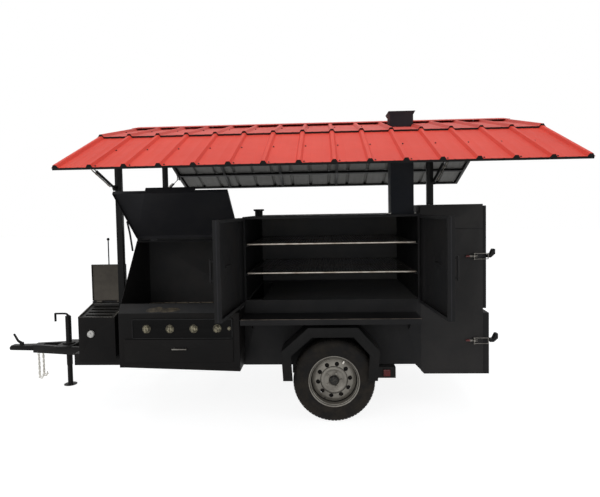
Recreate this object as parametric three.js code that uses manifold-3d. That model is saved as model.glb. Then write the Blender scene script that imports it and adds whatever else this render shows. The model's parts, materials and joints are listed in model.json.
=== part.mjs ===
// Towable barbecue trailer: an offset smoker with a gas grill, a fryer and a folding metal roof.
// Millimetres. +X runs towards the tail, -Y is the serving side, +Z is up, and the ground is Z = 0.
// Everything is placed from the wheel axle, and the last group centres the trailer on its length.

import * as THREE from 'three';
import { mergeVertices } from 'three/addons/utils/BufferGeometryUtils.js';
import Module from 'manifold-3d';

const wasm = await Module();
wasm.setup();

// Clearances and stock
const fitGap = 0.3;
const runGap = 3;
const plate = 3;
const sectionWall = 5;
const flapWall = 2;
const roofingThickness = 0.8;

// Running gear
const wheelRadius = 330;
const tyreWidth = 205;
const wheelFacets = 20;
const treadThickness = 14;
const beadRadius = 190;
const beadInset = 18;
const tyreWall = 12;
const tyreBulgeRadius = 250;
const tyreShoulder = 18;
const treadShoulder = 26;
const treadInset = 22;
const rimFlangeRadius = 207;
const rimWidth = 194;
const rimWall = 3;
const wheelOffset = 140.5;
const discHoleCount = 10;
const discHoleRadius = 16.5;
const discHoleCircle = 130;
const hubRadius = 38;
const hubCapRadius = 33;
const studCircle = 57;
const studCount = 5;
const spindleRadius = 17;
const spindlePlay = 1;
const axleRadius = 30;
const axleBeamInset = 46;
const spindleReach = 40;
const springHalfLength = 330;
const springWidth = 36;
const springStack = 24;
const springRise = 62;
const springPinRadius = 7;
const springSeatHeight = 6;
const springSeatShare = 0.15;
const springTaper = 0.6;

// Chassis
const frameBottom = 398;
const railHeight = 100;
const railWidth = 50;
const railLeft = -2236;
const bodyHalf = 680;
const crossMemberWidth = 50;
const tongueMemberX = -1300;
const tongueLegHeight = 76;
const tongueLegWidth = 40;
const tongueTip = -2970;
const tongueTipHalf = 30;
const tongueLegEnd = -1000;
const tongueSpread = 0.2;
const tongueTop = 411;
const couplerLength = 266;
const couplerHalf = 32;
const couplerHeight = 46;
const couplerWall = 4;
const ballRadius = 26;
const couplerBottom = 356;

// Jack
const jackX = -2626;
const jackTop = 690;
const jackTubeRadius = 28;
const jackTubeWall = 3;
const jackTubeLength = 490;
const jackLegWall = 4;
const jackLegTop = 470;
const jackFootRadius = 62;
const jackFootHeight = 6;
const jackScrewRadius = 8;
const jackScrewLength = 220;
const crankReach = 130;
const crankGripLength = 74;
const crankRadius = 9;

// Fenders, each outline point measured from the axle
const fenderWidth = 269.7;
const fenderPlate = 3;
const fenderLip = 77;
const fenderTop = 771;
const fenderTopFront = -201;
const fenderTopRear = 193;
const fenderWaist = 580;
const fenderWaistFront = -419;
const fenderWaistRear = 363;
const fenderFootFront = -406;
const fenderFootRear = 345;
const fenderFoot = 345;
const lampBoxWidth = 140;
const lampBoxHeight = 87;
const lampBoxBottom = 370;
const lampBoxDepth = 90;
const lensSize = 60;
const lensDepth = 14;

// Smoke chamber
const chamberLeft = -746;
const chamberWidth = 1480;
const chamberTop = 1655;
const chamberFloor = 930;
const ductBottom = 700;
const openingMargin = 20;
const openingBottom = 950;
const openingTop = 1636;
const toeLength = 51;
const toeDrop = 53;
const flueLength = 600;
const fluePortHeight = 110;
const returnSlot = 120;
const returnSlotHalf = 500;
const rackLevels = [1172, 1420];
const rackSetback = 60;
const rackLedgeSetback = 40;
const rackBar = 11;
const rackBarCount = 11;
const rackSlat = 6;
const rackLedge = 38;
const shelfTop = 840;
const shelfReach = 270;
const shelfLip = 45;
const shelfBracketSetback = 30;
const shelfBracketHeight = 150;
const shelfBracketInset = 60;
const shelfLeftInset = 5;
const shelfRightInset = 42;
const ventInset = 80;
const ventY = -200;
const ventRadius = 22.5;
const ventHeight = 52;
const ventCapRadius = 37;
const ventCapHeight = 12;

// Chamber doors
const doorDepth = 50;
const doorSkin = 2;
const doorGap = 3;
const doorBottom = 927;
const doorTop = 1648;
const doorHingeOut = 10;
const doorHingeForward = 30;
const doorOpenAngle = 94.5;
const knuckleRadius = 9;
const knuckleHeight = 46;
const knuckleInset = 110;
const doorStripInset = 300;
const doorStripLength = 130;

// Chimney
const chimneyInset = 135.5;
const chimneySetback = 60;
const chimneySide = 190;
const chimneyTop = 2512;
const chimneyFlare = 16;
const chimneyFlareHeight = 30;
const chimneyFlange = 22;
const chimneyClearance = 12;

// Firebox cabinet
const cabinetWidth = 510;
const cabinetBottom = 316;
const cabinetTop = 1730;
const cabinetDeck = 838;
const cabinetToe = 24;
const upperDoorDepth = 26;
const fireDoorDepth = 49;
const fireDoorTop = 827;
const upperDoorBottom = 866;
const upperDoorTop = 1716;
const doorBarrelRadius = 12;
const sideDoorHingeOut = 4;
const heatHoleInset = 120;
const heatHoleWidth = 240;
const heatHoleHalf = 250;
const grateLevel = 470;
const grateBar = 16;
const grateBarCount = 6;
const grateTiePlace = 450;
const upperLatchLevel = 1302;
const lowerLatchLevel = 602;
const latchPivotInset = 60;
const latchHandleLength = 88;
const latchHookReach = 112;
const latchWireRadius = 4;
const catchReach = 40;
const catchHeight = 26;
const catchRise = 44;

// Gas grill
const grillLeft = -1726;
const grillWidth = 977;
const grillRightInset = 62;
const grillReach = 270;
const grillDepth = 780;
const grillBottom = 498.3;
const grillRim = 900;
const grillTop = 1460;
const hoodHingeSetback = 473;
const hoodLength = 643;
const hoodDepth = 28;
const hoodOpenAngle = 37;
const hoodHandleWidth = 400;
const hoodHandleHeight = 30;
const hoodBarrelRadius = 9;
const panelLeft = -1613;
const panelWidth = 813;
const panelBottom = 696;
const panelHeight = 160;
const panelDepth = 12;
const knobLevel = 776;
const knobPlaces = [-1494, -1304, -1112, -923];
const knobRadius = 29;
const knobDepth = 28;
const knobShaftRadius = 5;
const igniterX = -826;
const igniterRadius = 9;
const igniterReach = 8;
const drawerLeft = -1680;
const drawerWidth = 880;
const drawerFaceBottom = 506;
const drawerFaceHeight = 184;
const drawerBoxBottom = 512;
const drawerBoxHeight = 88;
const drawerBoxInset = 20;
const drawerBoxLength = 690;
const drawerHandleX = -1226;
const drawerHandleLevel = 618;
const drawerHandleWidth = 120;
const burnerRadius = 12;
const burnerEnd = -260;
const cookingBar = 14;
const cookingBarCount = 9;
const griddleTop = 850;
const griddleThickness = 8;
const griddleLedge = 20;
const trayRise = 38;
const trayFall = 74;
const trayDepth = 245;

// Fryer
const fryerLeft = -2146;
const fryerWidth = 315;
const fryerReach = 90;
const fryerDepth = 320;
const fryerApronBottom = 455;
const fryerRim = 838;
const fryerBackRim = 905;
const fryerFloor = 560;
const fryerDialX = -2036;
const fryerDialLevel = 693;
const fryerDialRadius = 30;
const fryerDialDepth = 20;
const fryerLidLength = 335;
const fryerLidDepth = 22;
const fryerRodHeight = 225;
const fryerBallRadius = 9;
const fryerSlots = [50, 105, 160, 215];
const fryerSlotWidth = 26;
const fryerSlotInset = 40;

// Roof
const roofPitch = 228.6;
const roofPitches = 15;
const firstRibX = -1818.5;
const roofMargin = 28;
const ribHeight = 19;
const ribBase = 46;
const ribCrest = 22;
const ridgeZ = 2517;
const hingeZ = 2332;
const roofOverhang = 175;
const flapLength = 868;
const flapAngle = 21.6;
const flapHingeGap = 6;
const hingeDrop = 9;
const hingeBarrelRadius = 6;
const hingeLeaf = 80;
const flapHingeInset = 90;
const lastHingeInset = 210;
const hingeCount = 4;
const flapRakeXs = [-1256, -576, 104];
const postSide = 50;
const postWall = 3;
const leftPostX = -1803;
const rightPostReach = 85;
const beamHeight = 40;
const beamWidth = 30;
const flapFrameHeight = 26;
const flapFrameWidth = 30;
const flapFrameInset = 4;
const flapPurlin = 450;
const capHalf = 130;
const capThickness = 1.5;
const ridgeLap = 20;

// Gas struts
const strutInset = 5;
const strutFootReach = 23;
const strutLowerZ = 1920;
const strutHeadReach = 385;
const strutUpperZ = 2105;
const strutCylinderRadius = 11;
const strutCylinderLength = 350;
const strutRodRadius = 5;
const strutRodStart = 192;
const strutEyeRadius = 12;
const strutPinRadius = 5;
const strutEyeWidth = 14;
const strutEarThickness = 5;
const lockTubeRadius = 5;
const lockTubeOffset = 25;

// Places worked out from the sizes above
const chamberRight = chamberLeft + chamberWidth;
const toeStart = chamberRight - toeLength;
const chimneyX = chamberRight - chimneyInset;
const shelfLeft = chamberLeft + shelfLeftInset;
const shelfRight = chamberRight - shelfRightInset;
const ventX = chamberLeft + ventInset;
const rightPostX = chamberRight + rightPostReach;
const cabinetLeft = chamberRight + fitGap;
const cabinetRight = cabinetLeft + cabinetWidth;
const trackWidth = 2 * (bodyHalf + wheelOffset);
const rackFront = bodyHalf - rackSetback;
const grillFront = -bodyHalf - grillReach;
const grillBack = grillFront + grillDepth;
const hoodHingeY = grillFront + hoodHingeSetback;
const fryerFront = -bodyHalf - fryerReach;
const chimneyFront = chimneySetback - bodyHalf;
const hingeY = bodyHalf + roofOverhang;
const strutLowerY = bodyHalf + strutFootReach;
const strutUpperY = hingeY + strutHeadReach;
const latchX = tongueTip - 140;
const latchZ = couplerBottom + couplerHeight + 16;
const railOuter = bodyHalf - plate - fitGap;
const railInner = railOuter - railWidth;
const railCentre = railOuter - railWidth / 2;
const railTop = frameBottom + railHeight;
const grillRight = grillLeft + grillWidth;
const grillHoodRight = grillRight - grillRightInset;
const fryerRight = fryerLeft + fryerWidth;
const fryerBack = fryerFront + fryerDepth;
const roofLeft = firstRibX - roofMargin;
const roofRight = firstRibX + roofPitch * roofPitches + roofMargin;
const roofMiddle = (roofLeft + roofRight) / 2;
const gableAngle = Math.atan2(ridgeZ - hingeZ, hingeY);
const flapTilt = THREE.MathUtils.degToRad(flapAngle);
const postCentre = railOuter - postSide / 2;

// ---------------------------------------------------------------- solid tools

function solid(geometry) {
  const bare = geometry.clone();
  bare.deleteAttribute('normal');
  bare.deleteAttribute('uv');
  const merged = mergeVertices(bare, 1e-3);
  const body = new wasm.Manifold(new wasm.Mesh({
    numProp: 3,
    vertProperties: Float32Array.from(merged.attributes.position.array),
    triVerts: Uint32Array.from(merged.index.array),
  }));
  return body;
}

function block([x0, x1], [y0, y1], [z0, z1]) {
  const box = new THREE.BoxGeometry(x1 - x0, y1 - y0, z1 - z0);
  box.translate((x0 + x1) / 2, (y0 + y1) / 2, (z0 + z1) / 2);
  return solid(box);
}

// A round bar between two points.
function bar(from, to, radius, facets = 8) {
  const start = new THREE.Vector3(...from);
  const line = new THREE.Vector3(...to).sub(start);
  const round = new THREE.CylinderGeometry(radius, radius, line.length(), facets);
  const upright = new THREE.Vector3(0, 1, 0);
  const turn = new THREE.Quaternion().setFromUnitVectors(upright, line.clone().normalize());
  round.applyQuaternion(turn);
  round.translate(...start.addScaledVector(line, 0.5).toArray());
  return solid(round);
}

function outlineShape(points) {
  return new THREE.Shape(points.map(([a, b]) => new THREE.Vector2(a, b)));
}

// An outline drawn in X and Z, run from y0 to y1.
function prismXZ(points, [y0, y1]) {
  const form = new THREE.ExtrudeGeometry(outlineShape(points), { depth: y1 - y0, bevelEnabled: false });
  form.rotateX(Math.PI / 2);
  form.translate(0, y1, 0);
  return solid(form);
}

// An outline drawn in Y and Z, run from x0 to x1.
function prismYZ(points, [x0, x1]) {
  const form = new THREE.ExtrudeGeometry(outlineShape(points), { depth: x1 - x0, bevelEnabled: false });
  form.rotateX(Math.PI / 2);
  form.rotateZ(Math.PI / 2);
  form.translate(x0, 0, 0);
  return solid(form);
}

// An outline drawn in X and Y, run from z0 to z1.
function prismXY(points, [z0, z1]) {
  const form = new THREE.ExtrudeGeometry(outlineShape(points), { depth: z1 - z0, bevelEnabled: false });
  form.translate(0, 0, z0);
  return solid(form);
}

// A profile of [radius, height] points turned about an upright axis at the given place.
function turned(profile, facets = 16, place = [0, 0, 0]) {
  const points = profile.map(([r, h]) => new THREE.Vector2(r, h));
  const solidCore = profile[0][0] === 0 && profile[profile.length - 1][0] === 0;
  const line = solidCore ? points : points.concat([points[0]]);
  if (THREE.ShapeUtils.area(points) < 0) {
    line.reverse();
  }
  const form = new THREE.LatheGeometry(line, facets);
  form.rotateX(Math.PI / 2);
  form.translate(...place);
  return solid(form);
}

function join(...bodies) {
  return bodies.reduce((whole, next) => whole.add(next));
}

function cut(body, ...tools) {
  return tools.reduce((left, tool) => left.subtract(tool), body);
}

function shapeOf(body) {
  const mesh = body.getMesh();
  const form = new THREE.BufferGeometry();
  form.setAttribute('position', new THREE.BufferAttribute(Float32Array.from(mesh.vertProperties), 3));
  form.setIndex(new THREE.BufferAttribute(Uint32Array.from(mesh.triVerts), 1));
  const flat = form.toNonIndexed();
  flat.computeVertexNormals();
  return flat;
}

function finish(color, roughness, metalness) {
  return { color, roughness, metalness };
}

const satinBlack = finish(0x1c1b1a, 0.55, 0.3);
const bareSteel = finish(0xb9b4aa, 0.35, 0.9);
const redSheet = finish(0xc5402f, 0.45, 0.2);
const silverPaint = finish(0xa59f96, 0.4, 0.6);
const rubberBlack = finish(0x17171a, 0.85, 0);
const zincPlate = finish(0xcfcdc6, 0.3, 0.95);
const stainless = finish(0x8c8375, 0.4, 0.85);
const castBlack = finish(0x232120, 0.8, 0.4);
const lensRed = finish(0xb01818, 0.25, 0);

// A named piece, at the given place in its group.
function piece(name, body, look, [x, y, z] = [0, 0, 0]) {
  const mesh = new THREE.Mesh(shapeOf(body), new THREE.MeshStandardMaterial(look));
  mesh.name = name;
  mesh.position.set(x, y, z);
  return mesh;
}

function group(place, ...children) {
  const set = new THREE.Group();
  set.position.set(...place);
  set.add(...children);
  return set;
}

function radians(degrees) {
  return THREE.MathUtils.degToRad(degrees);
}

// The two sides of the trailer: near is the serving side.
const sides = [['near', -1], ['far', 1]];

// A span on one side of the trailer, given by its distances from the centreline.
function onSide(sign, inner, outer) {
  return sign < 0 ? [-outer, -inner] : [inner, outer];
}

// ---------------------------------------------------------------- chassis and tongue

const springCentre = railCentre - 2;
const springTop = wheelRadius - axleRadius - springSeatHeight - fitGap;
const springEyeZ = springTop - springStack / 2 + springRise;

// A rail is a channel, open towards the centreline.
function rail(sign) {
  const outer = block([railLeft, toeStart], onSide(sign, railInner, railOuter), [frameBottom, railTop]);
  const hollow = onSide(sign, railInner - 1, railOuter - sectionWall);
  return cut(
    outer,
    block([railLeft - 1, toeStart + 1], hollow, [frameBottom + sectionWall, railTop - sectionWall]),
  );
}

// A cross member is an angle that stands on the tongue legs.
function crossMember(x) {
  const span = [-railInner - 10, railInner + 10];
  return join(
    block([x, x + crossMemberWidth], span, [railTop - sectionWall, railTop]),
    block([x, x + sectionWall], span, [tongueTop + fitGap, railTop]),
  );
}

function springHanger(x, sign) {
  const reach = springWidth / 2 + 0.5;
  const z = [springEyeZ - 18, frameBottom + 1];
  const cheek = (inner) => block(
    [x - 16, x + 16],
    onSide(sign, springCentre + inner, springCentre + inner + sectionWall),
    z,
  );
  const pinSpan = onSide(sign, springCentre - reach - 1, springCentre + reach + 1);
  return join(
    cheek(reach),
    cheek(-reach - sectionWall),
    bar([x, pinSpan[0], springEyeZ], [x, pinSpan[1], springEyeZ], springPinRadius),
  );
}

function chassisFrame() {
  const crossPlaces = [
    railLeft, leftPostX - postSide / 2, tongueMemberX, chamberLeft + 10, -springHalfLength + 250,
    toeStart - crossMemberWidth,
  ];
  const springEnds = [-springHalfLength, springHalfLength];
  const hangers = sides.flatMap(([, sign]) => springEnds.map((x) => springHanger(x, sign)));
  const bearer = block(
    [railLeft + 5, leftPostX],
    [fryerBack - 60, fryerBack - 20],
    [railTop - sectionWall, railTop],
  );
  return join(rail(-1), rail(1), ...crossPlaces.map(crossMember), ...hangers, bearer);
}

// One leg of the tongue, a channel open towards the centreline.
function tongueLeg(sign) {
  const rise = (tongueLegEnd - tongueTip) * tongueSpread;
  const strip = (inner, outer, ends) => {
    const near = tongueTipHalf - ends * tongueSpread;
    const far = tongueTipHalf + rise + ends * tongueSpread;
    return [
      [tongueTip - ends, sign * (near + inner)],
      [tongueLegEnd + ends, sign * (far + inner)],
      [tongueLegEnd + ends, sign * (far + outer)],
      [tongueTip - ends, sign * (near + outer)],
    ];
  };
  const half = tongueLegWidth / 2;
  const bottom = tongueTop - tongueLegHeight;
  const outer = prismXY(strip(-half, half, 0), [bottom, tongueTop]);
  const hollow = prismXY(
    strip(-half - 1, half - sectionWall, 1),
    [bottom + sectionWall, tongueTop - sectionWall],
  );
  return cut(outer, hollow);
}

function tongueFrame() {
  const half = tongueTipHalf + tongueLegWidth / 2;
  const bottom = tongueTop - tongueLegHeight;
  const nose = cut(
    block([tongueTip, tongueTip + 90], [-half, half], [bottom, tongueTop]),
    block([tongueTip + 8, tongueTip + 91], [8 - half, half - 8], [bottom + 5, tongueTop - 5]),
  );
  const jackPlate = cut(
    block([jackX - 80, jackX + 80], [-150, 150], [tongueTop - 1, tongueTop + 6]),
    bar([jackX, 0, tongueTop - 5], [jackX, 0, tongueTop + 10], jackTubeRadius + fitGap, 24),
  );
  return join(nose, tongueLeg(-1), tongueLeg(1), jackPlate);
}

function coupler() {
  const rear = tongueTip - fitGap;
  const front = tongueTip - couplerLength + couplerHalf;
  const rearHalf = tongueTipHalf + tongueLegWidth / 2;
  const top = couplerBottom + couplerHeight;
  const outline = (inset) => [
    [front, inset - couplerHalf], [rear - inset, inset - rearHalf],
    [rear - inset, rearHalf - inset], [front, couplerHalf - inset],
  ];
  const shell = prismXY(outline(0), [couplerBottom, top]);
  const noseForm = new THREE.SphereGeometry(couplerHalf, 12, 8);
  const nose = solid(noseForm.translate(front, 0, top - couplerHalf));
  const inside = prismXY(outline(couplerWall), [couplerBottom - 1, top - couplerWall]);
  const socketForm = new THREE.SphereGeometry(ballRadius, 12, 6);
  const socket = solid(socketForm.translate(front, 0, couplerBottom + 8));
  const mouth = block([front - 60, front + 60], [-60, 60], [couplerBottom - 40, couplerBottom]);
  const ears = [-1, 1].map((sign) => block(
    [latchX - 12, latchX + 12],
    onSide(sign, 10.5, 15.5),
    [top - 1, latchZ + 10],
  ));
  const pin = bar([latchX, -12, latchZ], [latchX, 12, latchZ], 4);
  return join(cut(join(shell, nose), inside, socket, mouth), ...ears, pin);
}

// The lever's own origin is its pivot.
function couplerLatch() {
  const lever = prismXZ(
    [[10, -8], [10, 8], [-34, 30], [-74, 98], [-84, 92], [-46, 20], [-12, -8]],
    [-10, 10],
  );
  return cut(lever, bar([0, -12, 0], [0, 12, 0], 4 + fitGap, 12));
}

function safetyChains() {
  const z = tongueTop - tongueLegHeight - 6 - fitGap;
  const x = tongueTip + 50;
  const anchor = bar([x, -46, z], [x, 46, z], 6);
  const strands = [-40, 40].map((y) => join(
    bar([x, y, z], [x, y, 96], 8, 8),
    bar([x, y, 104], [x + 40, y, 74], 8, 8),
    bar([x + 38, y, 70], [x + 52, y, 118], 6, 8),
  ));
  return join(anchor, ...strands);
}

// ---------------------------------------------------------------- jack

function jackTube() {
  const inner = jackTubeRadius - jackTubeWall;
  const bottom = jackTop - jackTubeLength;
  const tube = turned([
    [0, jackTop], [jackTubeRadius, jackTop], [jackTubeRadius, bottom],
    [inner, bottom], [inner, jackTop - 6], [0, jackTop - 6],
  ]);
  const seat = tongueTop + 6 + fitGap;
  const flange = turned([[inner + 1, seat + 10], [60, seat + 10], [60, seat], [inner + 1, seat]]);
  return cut(
    join(tube, flange),
    bar([0, 0, jackTop - 8], [0, 0, jackTop + 2], crankRadius + fitGap, 16),
  );
}

function jackLeg() {
  const outer = jackTubeRadius - jackTubeWall - fitGap * 2;
  const inner = outer - jackLegWall;
  return turned([
    [0, 0], [jackFootRadius, 0], [jackFootRadius, jackFootHeight], [outer, jackFootHeight],
    [outer, jackLegTop], [inner, jackLegTop], [inner, jackFootHeight + 6], [0, jackFootHeight + 6],
  ]);
}

function jackCrank() {
  const armZ = jackTop + 20;
  return join(
    bar([0, 0, jackTop - jackScrewLength], [0, 0, jackTop], jackScrewRadius, 10),
    bar([0, 0, jackTop - 10], [0, 0, armZ + 6], crankRadius),
    bar([0, 0, jackTop + 1], [0, 0, jackTop + 9], crankRadius + 7, 16),
    bar([0, 0, armZ], [-crankReach, 0, armZ], crankRadius - 2),
    bar([-crankReach, 0, armZ + 7], [-crankReach, 0, armZ - crankGripLength], crankRadius),
  );
}

// ---------------------------------------------------------------- wheels, axle and springs

// The wheel and its hub, turned about Z with the outer side up.
function wheelRim() {
  const half = rimWidth / 2;
  const seat = beadRadius - fitGap;
  const inner = seat - rimWall;
  const barrel = turned([
    [rimFlangeRadius, half], [rimFlangeRadius, half - 4], [seat, half - 8], [seat, 8 - half],
    [rimFlangeRadius, 4 - half], [rimFlangeRadius, -half], [inner, -half], [inner, half],
  ], wheelFacets);
  const disc = turned([
    [hubRadius - 2, 52], [76, 52], [94, 61], [111, 49], [152, 43], [inner + 1, 30],
    [inner + 1, 25], [151, 38], [109, 44], [94, 56], [78, 47], [hubRadius - 2, 47],
  ], wheelFacets);
  const holes = ring(discHoleCount, discHoleCircle, (x, y) => bar(
    [x, y, 20],
    [x, y, 70],
    discHoleRadius,
  ));
  const nuts = ring(studCount, studCircle, (x, y) => bar([x, y, 50], [x, y, 66], 10, 6));
  const bore = spindleRadius + spindlePlay;
  const hub = turned([
    [0, 80], [hubCapRadius, 80], [hubRadius, 58], [hubRadius, 47.5], [70, 47.5], [70, 38],
    [hubRadius, 38], [hubRadius, -40], [bore, -40], [bore, 56], [0, 56],
  ], 12);
  return join(barrel, cut(disc, ...holes), hub, ...nuts);
}

// The same body on the other side of the centreline.
function mirrored(body, sign) {
  if (sign < 0) {
    return body;
  }
  const form = shapeOf(body);
  const flipped = form.attributes.position.array.map((value, i) => (i % 3 === 1 ? -value : value));
  const order = Uint32Array.from(
    { length: flipped.length / 3 },
    (_, i) => 3 * Math.floor(i / 3) + (2 - (i % 3)),
  );
  const other = new THREE.BufferGeometry();
  other.setAttribute('position', new THREE.BufferAttribute(flipped, 3));
  other.setIndex(new THREE.BufferAttribute(order, 1));
  return solid(other);
}

function ring(count, radius, make) {
  return Array.from({ length: count }, (_, i) => {
    const turn = (2 * Math.PI * i) / count;
    return make(radius * Math.cos(turn), radius * Math.sin(turn));
  });
}

function tyre() {
  const half = tyreWidth / 2;
  const bead = half - beadInset;
  const edge = half - treadShoulder;
  const shoulder = wheelRadius - tyreShoulder;
  const tread = wheelRadius - treadThickness;
  const hollow = half - treadInset;
  return turned([
    [beadRadius, bead], [tyreBulgeRadius, half], [shoulder, half - 6], [wheelRadius, edge],
    [wheelRadius, -edge], [shoulder, 6 - half], [tyreBulgeRadius, -half], [beadRadius, -bead],
    [beadRadius, tyreWall - bead], [tread, -hollow], [tread, hollow], [beadRadius, bead - tyreWall],
  ], wheelFacets);
}

function axle() {
  const beamEnd = trackWidth / 2 - axleBeamInset;
  const spindleEnd = trackWidth / 2 + spindleReach;
  const seats = sides.map(([, sign]) => block(
    [-35, 35],
    onSide(sign, springCentre - springWidth / 2, springCentre + springWidth / 2),
    [springTop + fitGap, wheelRadius - axleRadius + 8],
  ));
  return join(
    bar([0, -beamEnd, wheelRadius], [0, beamEnd, wheelRadius], axleRadius, 16),
    bar([0, -spindleEnd, wheelRadius], [0, spindleEnd, wheelRadius], spindleRadius, 12),
    ...seats,
  );
}

// A leaf spring under the axle, flat and thick at its seat and curved up to its eyes.
function leafSpring(sign) {
  const steps = [-1, -0.75, -0.5, -springSeatShare, springSeatShare, 0.5, 0.75, 1];
  const middle = springTop - springStack / 2;
  const edge = (side) => (t) => {
    const bend = Math.max(0, Math.abs(t) - springSeatShare) / (1 - springSeatShare);
    const half = (springStack / 2) * (1 - springTaper * bend);
    return [t * springHalfLength, middle + springRise * bend * bend + side * half];
  };
  const outline = steps.map(edge(-1)).concat(steps.map(edge(1)).reverse());
  const span = onSide(sign, springCentre - springWidth / 2, springCentre + springWidth / 2);
  const leaf = prismXZ(outline, span);
  const eyes = [-springHalfLength, springHalfLength].map((x) => bar(
    [x, span[0], springEyeZ],
    [x, span[1], springEyeZ],
    15,
    12,
  ));
  const bores = [-springHalfLength, springHalfLength].map((x) => bar(
    [x, span[0] - 1, springEyeZ], [x, span[1] + 1, springEyeZ], springPinRadius + fitGap,
  ));
  return cut(join(leaf, ...eyes), ...bores);
}

// ---------------------------------------------------------------- fenders

// An open outline moved inwards by a distance, each corner kept sharp.
function insetOutline(points, distance) {
  const edges = points.slice(1).map((point, i) => {
    const along = new THREE.Vector2(point[0] - points[i][0], point[1] - points[i][1]).normalize();
    const start = new THREE.Vector2(
      points[i][0] + along.y * distance,
      points[i][1] - along.x * distance,
    );
    return { along, start };
  });
  const last = edges[edges.length - 1];
  const end = last.start.clone().addScaledVector(last.along, 400);
  const corners = edges.slice(1).map((edge, i) => {
    const before = edges[i];
    const gap = edge.start.clone().sub(before.start);
    const step = gap.cross(edge.along) / before.along.cross(edge.along);
    return before.start.clone().addScaledVector(before.along, step).toArray();
  });
  const begin = edges[0].start.clone().addScaledVector(edges[0].along, -150);
  return [begin.toArray(), ...corners, end.toArray()];
}

function fender(sign) {
  const outline = [
    [fenderFootFront, fenderFoot], [fenderWaistFront, fenderWaist], [fenderTopFront, fenderTop],
    [fenderTopRear, fenderTop], [fenderWaistRear, fenderWaist], [fenderFootRear, fenderFoot],
  ];
  const inner = bodyHalf + fitGap;
  const outer = inner + fenderWidth;
  const shell = prismXZ(outline, onSide(sign, inner, outer));
  const hollow = prismXZ(
    insetOutline(outline, fenderPlate),
    onSide(sign, inner - 1, outer - fenderPlate),
  );
  const window = prismXZ(insetOutline(outline, fenderLip), onSide(sign, inner, outer + 1));
  const boxEnd = fenderFootRear + lampBoxWidth;
  const lampTop = lampBoxBottom + lampBoxHeight;
  const box = block(
    [fenderFootRear, boxEnd],
    onSide(sign, outer - lampBoxDepth, outer),
    [lampBoxBottom, lampTop],
  );
  const boxHollow = block(
    [fenderFootRear + 14, boxEnd - plate],
    onSide(sign, outer - lampBoxDepth + plate, outer - plate),
    [lampBoxBottom - 1, lampTop - plate],
  );
  return join(cut(shell, hollow, window), cut(box, boxHollow));
}

function lampLens(sign) {
  const face = bodyHalf + fitGap + fenderWidth + fitGap;
  const x = fenderFootRear + lampBoxWidth / 2;
  const z = lampBoxBottom + lampBoxHeight / 2;
  const half = lensSize / 2;
  return block([x - half, x + half], onSide(sign, face, face + lensDepth), [z - half, z + half]);
}

// ---------------------------------------------------------------- smoke chamber

const chamberInside = [chamberLeft + plate, chamberRight - plate];
const wallInside = [plate - bodyHalf, bodyHalf - plate];
const openingLeft = chamberLeft + openingMargin;
const openingRight = chamberRight - openingMargin;
const chimneyY = chimneyFront + chimneySide / 2;
const portHeight = [ductBottom + 10, ductBottom + 10 + fluePortHeight];
const doorWidth = chamberWidth / 2 - doorGap / 2;
const doorHingeY = -bodyHalf - doorHingeForward;
const knuckleLevels = [doorBottom + knuckleInset, doorTop - knuckleInset - knuckleHeight];

function chamberShell() {
  const outline = [
    [chamberLeft, frameBottom], [toeStart, frameBottom], [chamberRight, frameBottom - toeDrop],
    [chamberRight, chamberTop], [chamberLeft, chamberTop],
  ];
  const cavity = block(chamberInside, wallInside, [chamberFloor, chamberTop - plate]);
  const duct = block(chamberInside, wallInside, [ductBottom, chamberFloor - plate]);
  const under = block(chamberInside, wallInside, [frameBottom - toeDrop - 1, ductBottom - plate]);
  const mouth = block(
    [openingLeft, openingRight],
    [-bodyHalf - 1, 1 - bodyHalf + plate],
    [openingBottom, openingTop],
  );
  const wallSpan = [chamberLeft - 1, chamberLeft + plate + 1];
  const railNotch = block(wallSpan, wallInside, [frameBottom - 1, railTop + fitGap]);
  const slot = block(
    [chamberLeft + 20, chamberLeft + 20 + returnSlot],
    [-returnSlotHalf, returnSlotHalf],
    [chamberFloor - plate - 1, chamberFloor + 1],
  );
  const port = block(
    [chamberRight - plate - 1, chamberRight + 1],
    [-flueLength / 2, flueLength / 2],
    portHeight,
  );
  const half = chimneySide / 2 - plate;
  const flue = block(
    [chimneyX - half, chimneyX + half],
    [chimneyY - half, chimneyY + half],
    [chamberTop - plate - 1, chamberTop + 1],
  );
  const vent = bar(
    [ventX, ventY, chamberTop - plate - 1],
    [ventX, ventY, chamberTop + 1],
    ventRadius - plate,
    12,
  );
  return cut(
    prismXZ(outline, [-bodyHalf, bodyHalf]),
    cavity,
    duct,
    under,
    mouth,
    railNotch,
    slot,
    port,
    flue,
    vent,
  );
}

function ventPipe() {
  const inner = ventRadius - plate;
  const top = ventHeight + ventCapHeight;
  return turned([
    [0, top], [ventCapRadius, top], [ventCapRadius, ventHeight], [ventRadius, ventHeight],
    [ventRadius, -1], [inner, -1], [inner, ventHeight + 2], [0, ventHeight + 2],
  ], 12, [ventX, ventY, chamberTop]);
}

function rackLedges() {
  const ledgeY = [rackLedgeSetback - bodyHalf, bodyHalf - rackLedgeSetback];
  return rackLevels.flatMap((level) => {
    const z = [level - rackBar - fitGap - plate, level - rackBar - fitGap];
    return [
      block([chamberInside[0] - 1, chamberInside[0] + rackLedge], ledgeY, z),
      block([chamberInside[1] - rackLedge, chamberInside[1] + 1], ledgeY, z),
    ];
  });
}

function frontShelf() {
  const front = -bodyHalf - shelfReach;
  const right = shelfRight;
  const bracket = (x) => prismYZ(
    [
      [1 - bodyHalf, shelfTop - 1],
      [front + shelfBracketSetback, shelfTop - 1],
      [1 - bodyHalf, shelfTop - shelfBracketHeight],
    ],
    [x, x + sectionWall],
  );
  return join(
    block([shelfLeft, right], [front, 1 - bodyHalf], [shelfTop - plate, shelfTop]),
    block([shelfLeft, right], [front, front + plate], [shelfTop - shelfLip, shelfTop]),
    bracket(shelfLeft + shelfBracketInset),
    bracket(right - shelfBracketInset),
  );
}

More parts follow.
